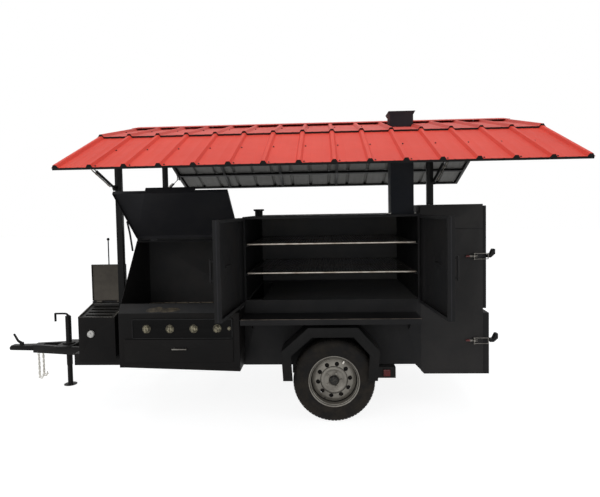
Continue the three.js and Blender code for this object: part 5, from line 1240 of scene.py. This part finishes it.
# Thin dark rings in the rim's grooves: painted shade.
GROOVE_SHADE_RINGS = (
    [(0.1925, 0.0921), (0.1965, 0.0938), (0.1965, 0.0944), (0.1925, 0.0928)],
    [(0.1790, 0.0346), (0.1864, 0.0311), (0.1864, 0.0335), (0.1790, 0.0368)],
    [(0.1088, 0.0517), (0.1118, 0.0499), (0.1118, 0.0508), (0.1088, 0.0526)],
)
BRAKE_DRUM = [
    (0.037, 0.031), (0.142, 0.031), (0.150, 0.024), (0.150, -0.030), (0.144, -0.030), (0.144, 0.022),
    (0.140, 0.025), (0.037, 0.025),
]
TYRE_SIDE = [
    (0.1900, 0.0835), (0.1985, 0.0935), (0.2080, 0.0950), (0.2120, 0.0985), (0.2180, 0.1000), (0.2420, 0.1020),
    (0.2640, 0.1020), (0.2660, 0.1010), (0.2860, 0.0990), (0.3020, 0.0955), (0.3130, 0.0895), (0.3195, 0.0800),
]
TYRE_INSIDE = [
    (0.1900, -0.0700), (0.2500, -0.0900), (0.3080, -0.0780), (0.3080, 0.0780), (0.2500, 0.0900), (0.1900, 0.0700),
]
SHOULDER_LUG = [
    (0.3115, 0.0905), (0.3215, 0.0815), (0.3285, 0.0700), (0.3285, 0.0605), (0.3200, 0.0605), (0.3080, 0.0850),
]


def build_wheel(side):
    body = f"wheel_{side}"
    place = wheel_place(side)

    def turned(degrees):
        return place @ Matrix.Rotation(math.radians(degrees), 4, "Z")

    def make_rings(name, outlines, steps, look):
        rings = bmesh.new()
        for outline in outlines:
            add_spun(rings, outline, steps, place)
        make_piece(rings, f"{name}_{side}", body, look)

    rim = bmesh.new()
    for outline, steps in ((RIM_BARREL, 96), (DISC_MIDDLE, 96)):
        add_spun(rim, outline, steps, place)
    add_pierced_ring(
        rim, 0.1105, 0.1525, 0.1305, 0.0178, lambda distance: 0.050 - (distance - 0.111) * 0.146, 0.0045, turned(7),
    )
    for outline, steps in ((DISC_EDGE, 96), (HUB_RING, 48)):
        add_spun(rim, outline, steps, place)
    nuts, circle = 5, 0.057
    for i in range(nuts):
        x, y = circle * math.cos(math.tau * i / nuts), circle * math.sin(math.tau * i / nuts)
        add_nut(rim, place @ Vector((x, y, 0.050)), place @ Vector((x, y, 0.066)), 0.0105)
        add_rod(rim, place @ Vector((x, y, 0.0495)), place @ Vector((x, y, 0.053)), 0.0135, 20)
    round_edges(rim, 0.0006, 1)
    make_piece(rim, f"rim_{side}", body, wheel_silver(), [f"wheel_rim_{side}"])
    make_rings("hub_cap", [HUB_CAP], 48, greasy_hub())
    # The dark rings in the grooves are painted shade.
    make_rings("rim_groove_shade", GROOVE_SHADE_RINGS, 96, drum_and_groove_shade_black())
    # A small bright zinc block on the disc, between two holes.
    disc_block, stem = bmesh.new(), bmesh.new()
    add_box(disc_block, (0.148, -0.006, 0.0450), (0.172, 0.006, 0.0520), turned(61))
    make_piece(disc_block, f"wheel_disc_block_{side}", body, bright_zinc(), bevel=0.0015)
    make_rings("brake_drum", [BRAKE_DRUM], 64, drum_and_groove_shade_black())
    root, tip = turned(243) @ Vector((0.171, 0, 0.034)), turned(243) @ Vector((0.163, 0, 0.068))
    add_rod(stem, root, tip, 0.0042, 12, 0.0032)
    make_piece(stem, f"valve_stem_{side}", body, black_rubber(), bevel=0.0006)
    build_tyre(side, body, place)


def build_tyre(side, body, place):
    """A tyre with four grooves, shoulder lugs and three rows of blocks."""
    bm = bmesh.new()
    tread = [(0.3238, 0.070)]
    for groove in (0.052, 0.017, -0.018, -0.053):
        tread += [
            (0.3250, groove + 0.0055), (0.3165, groove + 0.0035), (0.3165, groove - 0.0035), (0.3250, groove - 0.0055),
        ]
    tread.append((0.3238, -0.070))
    far_side = [(radius, -level) for radius, level in reversed(TYRE_SIDE)]
    add_spun(bm, TYRE_SIDE + tread + far_side + TYRE_INSIDE, 96, place)
    count, half = sizes().tread_blocks, 0.0105
    for i in range(count):
        turn = place @ Matrix.Rotation(math.tau * i / count, 4, "Z")
        for end in (-1, 1):
            add_plate(bm, [(radius, 0, end * level) for radius, level in SHOULDER_LUG], (0, 0.0215, 0), turn)
        for row, shift in ((0.0345, 0.5), (-0.0005, 0.0), (-0.0355, 0.5)):
            skew = turn @ Matrix.Rotation(math.tau * shift / count, 4, "Z")
            add_box(bm, (0.3215, -half, row - half), (0.3292, half, row + half), skew)
    make_piece(bm, f"tyre_{side}_tread", body, tyre_rubber(), [f"tyre_{side}"], angle=30)


def build_running_gear():
    for side in ("near", "far"):
        build_wheel(side)
        refine(f"leaf_spring_{side}", "base", trailer_black())
        refine(f"fender_{side}", "base", trailer_black(), bevel=0.0016)
        build_lens(side)
    refine("axle", "base", trailer_black())


def build_lens(side):
    """A ribbed red lens in a black rubber bezel."""
    node = f"marker_lamp_{side}"
    (x0, y0, z0), (x1, y1, z1) = low(node), high(node)
    face, back, proud = (y0, y1, y1 - 0.008) if side == "near" else (y1, y0, y0 + 0.008)
    lens, bezel, edge = bmesh.new(), bmesh.new(), 0.004
    add_box(lens, (x0 + edge, y0, z0 + edge), (x1 - edge, y1, z1 - edge))
    for i in range(5):
        z = z0 + 0.010 + 0.010 * i
        add_rod(lens, (x0 + 0.006, face, z), (x1 - 0.006, face, z), 0.0016, 8)
    make_piece(lens, f"{node}_lens", "base", lens_red(), [node], 0.0015)
    for left, right, foot, head in frame_bars(x0, x1, z0, z1, 0.0045):
        add_box(bezel, (left, min(back, proud), foot), (right, max(back, proud), head))
    make_piece(bezel, f"{node}_bezel", "base", black_rubber(), bevel=0.0008)


# ------------------------------------------------------------------ frame and tongue

def build_front_end():
    for node, body, bevel in (
        ("chassis_frame", "base", None), ("tongue_frame", "base", None), ("coupler", "base", 0.0035),
        ("coupler_latch", "coupler_latch", 0.0025), ("jack_tube", "base", 0.0012), ("jack_leg", "jack_leg", 0.0012),
    ):
        refine(node, body, trailer_black(), bevel=bevel)
    build_crank()
    build_chains()


def build_crank():
    """The jack's shaft, its cap and arched arm, and a ringed rubber grip."""
    node = "jack_crank"
    top = pivot("jack_crank_turn")
    reach, level = low(node).x + 0.009, top.z + 0.024
    bm = bmesh.new()
    for foot, head, radius, segments in (
        (-0.220, 0, 0.008, 16), (-0.010, 0.006, 0.012, 24), (0.001, 0.009, 0.016, 32),
    ):
        add_rod(bm, (top.x, 0, top.z + foot), (top.x, 0, top.z + head), radius, segments)
    arch = [(0, 0.004), (-0.004, 0.012), (-0.014, 0.020), (-0.030, 0.0235), (-0.052, 0.024), (reach - top.x, 0.024)]
    add_bent_rod(bm, [Vector((top.x + x, 0, top.z + z)) for x, z in arch], 0.0092, 0.0094)
    make_piece(bm, "jack_crank_arm", node, trailer_black(), [node], 0.0008)
    grip = bmesh.new()
    add_rod(grip, (reach, 0, level - 0.078), (reach, 0, level + 0.001), 0.0105, 24)
    for i in range(6):
        place = Matrix.Translation((reach, 0, level - 0.068 + 0.011 * i))
        add_spun(grip, [(0.0095, -0.0018), (0.0114, 0), (0.0095, 0.0018)], 24, place)
    make_piece(grip, "jack_crank_grip", node, black_rubber(), bevel=0.0008)


def add_link(bm, centre, direction, quarter):
    """One oval chain link, turned a quarter from its neighbours."""
    length, width, wire = 0.0190, 0.0090, 0.0045
    path, ring = 14, 6
    side = Vector((0, 1, 0)) if quarter else Vector((1, 0, 0))
    direction = direction.normalized()
    side = (side - direction * side.dot(direction)).normalized()
    normal = direction.cross(side)
    rows = []
    for i in range(path):
        angle = math.tau * i / path
        stretch = length - width if math.cos(angle) > 0 else width - length
        if abs(math.cos(angle)) < 0.2:
            stretch = 0
        spot = centre + direction * (math.cos(angle) * width + stretch) + side * math.sin(angle) * width
        out = direction * math.cos(angle) + side * math.sin(angle)
        rows.append([
            bm.verts.new(spot + (out * math.cos(math.tau * k / ring) + normal * math.sin(math.tau * k / ring)) * wire)
            for k in range(ring)
        ])
    for i in range(path):
        a, b = rows[i], rows[(i + 1) % path]
        for k in range(ring):
            n = (k + 1) % ring
            bm.faces.new((a[k], b[k], b[n], a[n]))


def build_chains():
    """Two safety chains that hang from a cross bar and end in a hooked pin."""
    node = "safety_chains"
    lowest, highest = low(node), high(node)
    x, top, wire = lowest.x + 0.008, highest.z - 0.006, 0.0045
    bm = bmesh.new()
    add_rod(bm, (x, lowest.y, top), (x, highest.y, top), 0.006, 16)
    corners = ((0, top), (0.003, top - 0.120), (0.002, 0.110), (0.012, 0.084), (0.028, 0.080), (0.040, 0.094))
    for y in (-0.040, 0.040):
        spots = spread([Vector((x + ahead, y, z)) for ahead, z in corners], 0.0235)
        for i, (spot, direction) in enumerate(spots):
            add_link(bm, spot, direction, i % 2)
        end = spots[-1][0]
        tip = end + Vector((0.004, 0, 0.030))
        add_rod(bm, end, tip, wire, 12)
        add_ball(bm, tip, 0.006, 12)
    bmesh.ops.recalc_face_normals(bm, faces=bm.faces)
    make_piece(bm, "chain_links", "base", bright_zinc(), [node])


def spread(line, step):
    """Points and directions at equal steps along a line of corners."""
    found, left_over = [], 0.0
    for start, end in zip(line, line[1:]):
        direction = end - start
        distance = step - left_over if found else step / 2
        while distance <= direction.length:
            found.append((start + direction * (distance / direction.length), direction))
            distance += step
        left_over = direction.length - (distance - step)
    return found


# ------------------------------------------------------------------ stage

def floor_white():
    """A pale floor that looks whiter where it is seen, and keeps the trailer's shadow."""
    material = painted("Studio Floor", (160, 160, 160), (156, 156, 156), (0.9, 0.95), (60.0, 0.02), shine=0.1)
    tree = material.node_tree
    shader, leave = tree.nodes["Principled BSDF"], tree.nodes["Material Output"]
    glow, both = tree.nodes.new("ShaderNodeEmission"), tree.nodes.new("ShaderNodeAddShader")
    join_up(
        tree, (add_math(tree, "MULTIPLY", seen_ray(tree), sizes().floor_lift), glow.inputs["Strength"]),
        (shader.outputs[0], both.inputs[0]), (glow.outputs[0], both.inputs[1]),
        (both.outputs[0], leave.inputs["Surface"]),
    )
    return material


def seen_ray(tree):
    """1 for the rays by which a background is seen, straight or in metal and glass."""
    path = tree.nodes.new("ShaderNodeLightPath")
    mirrored = add_math(tree, "ADD", path.outputs["Is Glossy Ray"], path.outputs["Is Transmission Ray"])
    return add_math(tree, "ADD", path.outputs["Is Camera Ray"], mirrored)


def build_floor():
    bm = bmesh.new()
    bmesh.ops.create_grid(bm, x_segments=2, y_segments=2, size=sizes().floor_reach)
    bmesh.ops.translate(bm, vec=(0, 0, -0.0005), verts=bm.verts)
    floor = place_mesh(bm, "studio_floor", [floor_white()])


def build_world():
    """Plain white behind the trailer, and a softer even light on it."""
    world = bpy.data.worlds.new("studio_world")
    bpy.context.scene.world = world
    world.use_nodes = True
    tree = world.node_tree
    tree.nodes.clear()
    leave, mix = tree.nodes.new("ShaderNodeOutputWorld"), tree.nodes.new("ShaderNodeMixShader")
    lit, seen = tree.nodes.new("ShaderNodeBackground"), tree.nodes.new("ShaderNodeBackground")
    for light, colour, strength in ((lit, (0.92, 0.96, 1.0, 1), sizes().sky_light), (seen, (1, 1, 1, 1), 1.0)):
        light.inputs["Color"].default_value = colour
        light.inputs["Strength"].default_value = strength
    join_up(
        tree, (seen_ray(tree), mix.inputs[0]), (lit.outputs[0], mix.inputs[1]),
        (seen.outputs[0], mix.inputs[2]), (mix.outputs[0], leave.inputs["Surface"]),
    )


def add_lamp(name, place, target, size, power):
    lamp = bpy.data.lights.new(name, "AREA")
    lamp.shape = "RECTANGLE"
    lamp.size, lamp.size_y = size
    lamp.energy = power
    thing = bpy.data.objects.new(name, lamp)
    turn = (Vector(target) - Vector(place)).to_track_quat("-Z", "Y").to_matrix().to_4x4()
    thing.matrix_world = Matrix.Translation(Vector(place)) @ turn
    bpy.context.scene.collection.objects.link(thing)


def build_camera():
    yaw, pitch, roll = -0.0467, 0.0468, -0.018
    forward = Vector((math.sin(yaw) * math.cos(pitch), math.cos(yaw) * math.cos(pitch), -math.sin(pitch)))
    level = Vector((math.cos(yaw), -math.sin(yaw), 0))
    upright = level.cross(forward)
    right = level * math.cos(roll) + upright * math.sin(roll)
    up = upright * math.cos(roll) - level * math.sin(roll)
    turn = Matrix((right, up, -forward)).transposed().to_4x4()
    camera = bpy.data.cameras.new("studio_camera")
    camera.lens, camera.sensor_width = 30.84, 36.0
    camera.shift_x, camera.shift_y = 0.0007, -0.0257
    camera.clip_end = 200
    thing = bpy.data.objects.new("studio_camera", camera)
    thing.matrix_world = Matrix.Translation((0.73275, -4.974, 1.714)) @ turn
    bpy.context.scene.collection.objects.link(thing)
    bpy.context.scene.camera = thing


def build_stage():
    look = sizes()
    build_floor()
    build_world()
    add_lamp("overhead_lamp", (0.4, -1.0, 7.5), (0.2, 0.0, 1.0), (9.0, 7.0), look.overhead_power)
    add_lamp("front_lamp", (-3.5, -7.5, 4.6), (0.0, -0.6, 1.2), (5.0, 3.5), look.front_power)
    add_lamp("low_lamp", (0.6, -9.0, 1.1), (0.6, 0.0, 1.1), (8.0, 2.0), look.low_power)
    add_lamp("side_lamp", (6.5, -3.0, 3.2), (0.5, 0.0, 1.2), (3.0, 3.0), look.side_power)
    build_camera()
    bpy.context.scene.view_settings.view_transform = "Standard"


# ------------------------------------------------------------------ add-on

def colour_setting(name, description, screen_colour):
    return bpy.props.FloatVectorProperty(
        name=name, description=description, subtype="COLOR_GAMMA", size=3, min=0.0, max=1.0,
        default=tuple(value / 255 for value in screen_colour),
    )


def length_setting(name, description, metres):
    return bpy.props.FloatProperty(
        name=name, description=description, default=metres, min=0.0, unit="LENGTH", subtype="DISTANCE",
    )


def number_setting(name, description, value, highest=1.0):
    return bpy.props.FloatProperty(name=name, description=description, default=value, min=0.0, max=highest)


def count_setting(name, description, value, lowest, highest):
    return bpy.props.IntProperty(name=name, description=description, default=value, min=lowest, max=highest)


def power_setting(name, description, watts):
    return bpy.props.FloatProperty(name=name, description=description, default=watts, min=0.0, unit="POWER")


class TrailerLooks(bpy.types.PropertyGroup):
    """The sizes and colours of the looks that a user may change."""
    paint_colour: colour_setting("Body Paint", "Colour of the smoke chamber and the firebox's side doors", (33, 33, 34))
    roof_colour: colour_setting("Roof Colour", "Colour of the roofing on the folding sides", (220, 72, 56))
    rib_pitch: length_setting("Rib Pitch", "Distance between two ribs of the roofing", 0.2286)
    rib_base: length_setting("Rib Base", "Width of a rib at its foot", 0.046)
    rib_crest: length_setting("Rib Crest", "Width of a rib at its top", 0.022)
    rib_height: length_setting("Rib Height", "Height of a rib above the flat", 0.019)
    roof_lap: length_setting("Roof Lap", "How far the centre sheets reach over the folding sides", 0.074)
    sheet_thickness: length_setting("Sheet Thickness", "Thickness of the roofing", 0.0008)
    screw_size: length_setting("Screw Size", "Radius of a roofing screw's head", 0.0045)
    edge_round: length_setting("Edge Rounding", "How far the edges of plates and tubes are eased", 0.0012)
    gable_degrees: number_setting("Gable Slope", "Slope of the centre roof in degrees", 12.2089, 45.0)
    flap_degrees: number_setting("Flap Slope", "Slope of the side flaps in degrees", 21.6, 60.0)
    rim_holes: count_setting("Rim Holes", "Number of round holes in a wheel's disc", 10, 4, 16)
    tread_blocks: count_setting("Tread Blocks", "Number of blocks around each row of the tread", 72, 24, 120)
    floor_reach: length_setting("Floor Reach", "Half the width of the studio floor", 30.0)
    floor_lift: number_setting("Floor Lift", "How much whiter the floor looks to the camera", 0.88)
    sky_light: number_setting("Sky Light", "Strength of the even light around the trailer", 0.35, 5.0)
    overhead_power: power_setting("Overhead Lamp", "Power of the lamp over the roof", 270.0)
    front_power: power_setting("Front Lamp", "Power of the lamp at the serving side", 110.0)
    low_power: power_setting("Low Lamp", "Power of the level lamp that reaches into the chambers", 60.0)
    side_power: power_setting("Side Lamp", "Power of the lamp beyond the tail", 50.0)


def sizes():
    return bpy.context.scene.trailer_looks


class TRAILER_OT_roof(bpy.types.Operator):
    """Build the ribbed roofing, its flaps, frames and gas struts"""
    bl_idname = "trailer.build_roof"
    bl_label = "Roof"

    def execute(self, context):
        build_roof()
        return {"FINISHED"}


class TRAILER_OT_smoker(bpy.types.Operator):
    """Build the smoke chamber, its doors, racks and chimney"""
    bl_idname = "trailer.build_smoker"
    bl_label = "Smoke Chamber"

    def execute(self, context):
        build_smoker()
        return {"FINISHED"}


class TRAILER_OT_cabinet(bpy.types.Operator):
    """Build the firebox cabinet, its side doors, grate and clamps"""
    bl_idname = "trailer.build_cabinet"
    bl_label = "Firebox Cabinet"

    def execute(self, context):
        build_fire_cabinet()
        return {"FINISHED"}


class TRAILER_OT_grill(bpy.types.Operator):
    """Build the gas grill with its hood, knobs, burners and drawer"""
    bl_idname = "trailer.build_grill"
    bl_label = "Gas Grill"

    def execute(self, context):
        build_grill()
        return {"FINISHED"}


class TRAILER_OT_fryer(bpy.types.Operator):
    """Build the fryer with its lid and dial"""
    bl_idname = "trailer.build_fryer"
    bl_label = "Fryer"

    def execute(self, context):
        build_fryer()
        return {"FINISHED"}


class TRAILER_OT_running_gear(bpy.types.Operator):
    """Build the wheels, tyres, springs, fenders and marker lamps"""
    bl_idname = "trailer.build_running_gear"
    bl_label = "Running Gear"

    def execute(self, context):
        build_running_gear()
        return {"FINISHED"}


class TRAILER_OT_front_end(bpy.types.Operator):
    """Build the frame, tongue, coupler, jack and safety chains"""
    bl_idname = "trailer.build_front_end"
    bl_label = "Frame and Tongue"

    def execute(self, context):
        build_front_end()
        return {"FINISHED"}


class TRAILER_OT_stage(bpy.types.Operator):
    """Set up the floor, light and camera"""
    bl_idname = "trailer.build_stage"
    bl_label = "Studio"

    def execute(self, context):
        build_stage()
        return {"FINISHED"}


BUILDERS = (
    TRAILER_OT_roof, TRAILER_OT_smoker, TRAILER_OT_cabinet, TRAILER_OT_grill, TRAILER_OT_fryer,
    TRAILER_OT_running_gear, TRAILER_OT_front_end, TRAILER_OT_stage,
)


class TRAILER_PT_panel(bpy.types.Panel):
    """Sizes, colours and build steps of the trailer"""
    bl_label = "Barbecue Trailer"
    bl_idname = "TRAILER_PT_panel"
    bl_space_type = "VIEW_3D"
    bl_region_type = "UI"
    bl_category = "Trailer"

    def draw(self, context):
        layout = self.layout
        looks = context.scene.trailer_looks
        for setting in TrailerLooks.__annotations__:
            layout.prop(looks, setting)
        for builder in BUILDERS:
            layout.operator(builder.bl_idname)


CLASSES = (TrailerLooks, *BUILDERS, TRAILER_PT_panel)


def register():
    for each in CLASSES:
        bpy.utils.register_class(each)
    bpy.types.Scene.trailer_looks = bpy.props.PointerProperty(type=TrailerLooks)


def unregister():
    del bpy.types.Scene.trailer_looks
    for each in reversed(CLASSES):
        bpy.utils.unregister_class(each)


def main():
    register()
    bpy.ops.trailer.build_roof()
    bpy.ops.trailer.build_smoker()
    bpy.ops.trailer.build_cabinet()
    bpy.ops.trailer.build_grill()
    bpy.ops.trailer.build_fryer()
    bpy.ops.trailer.build_running_gear()
    bpy.ops.trailer.build_front_end()
    bpy.ops.trailer.build_stage()


if __name__ == "__main__":
    main()
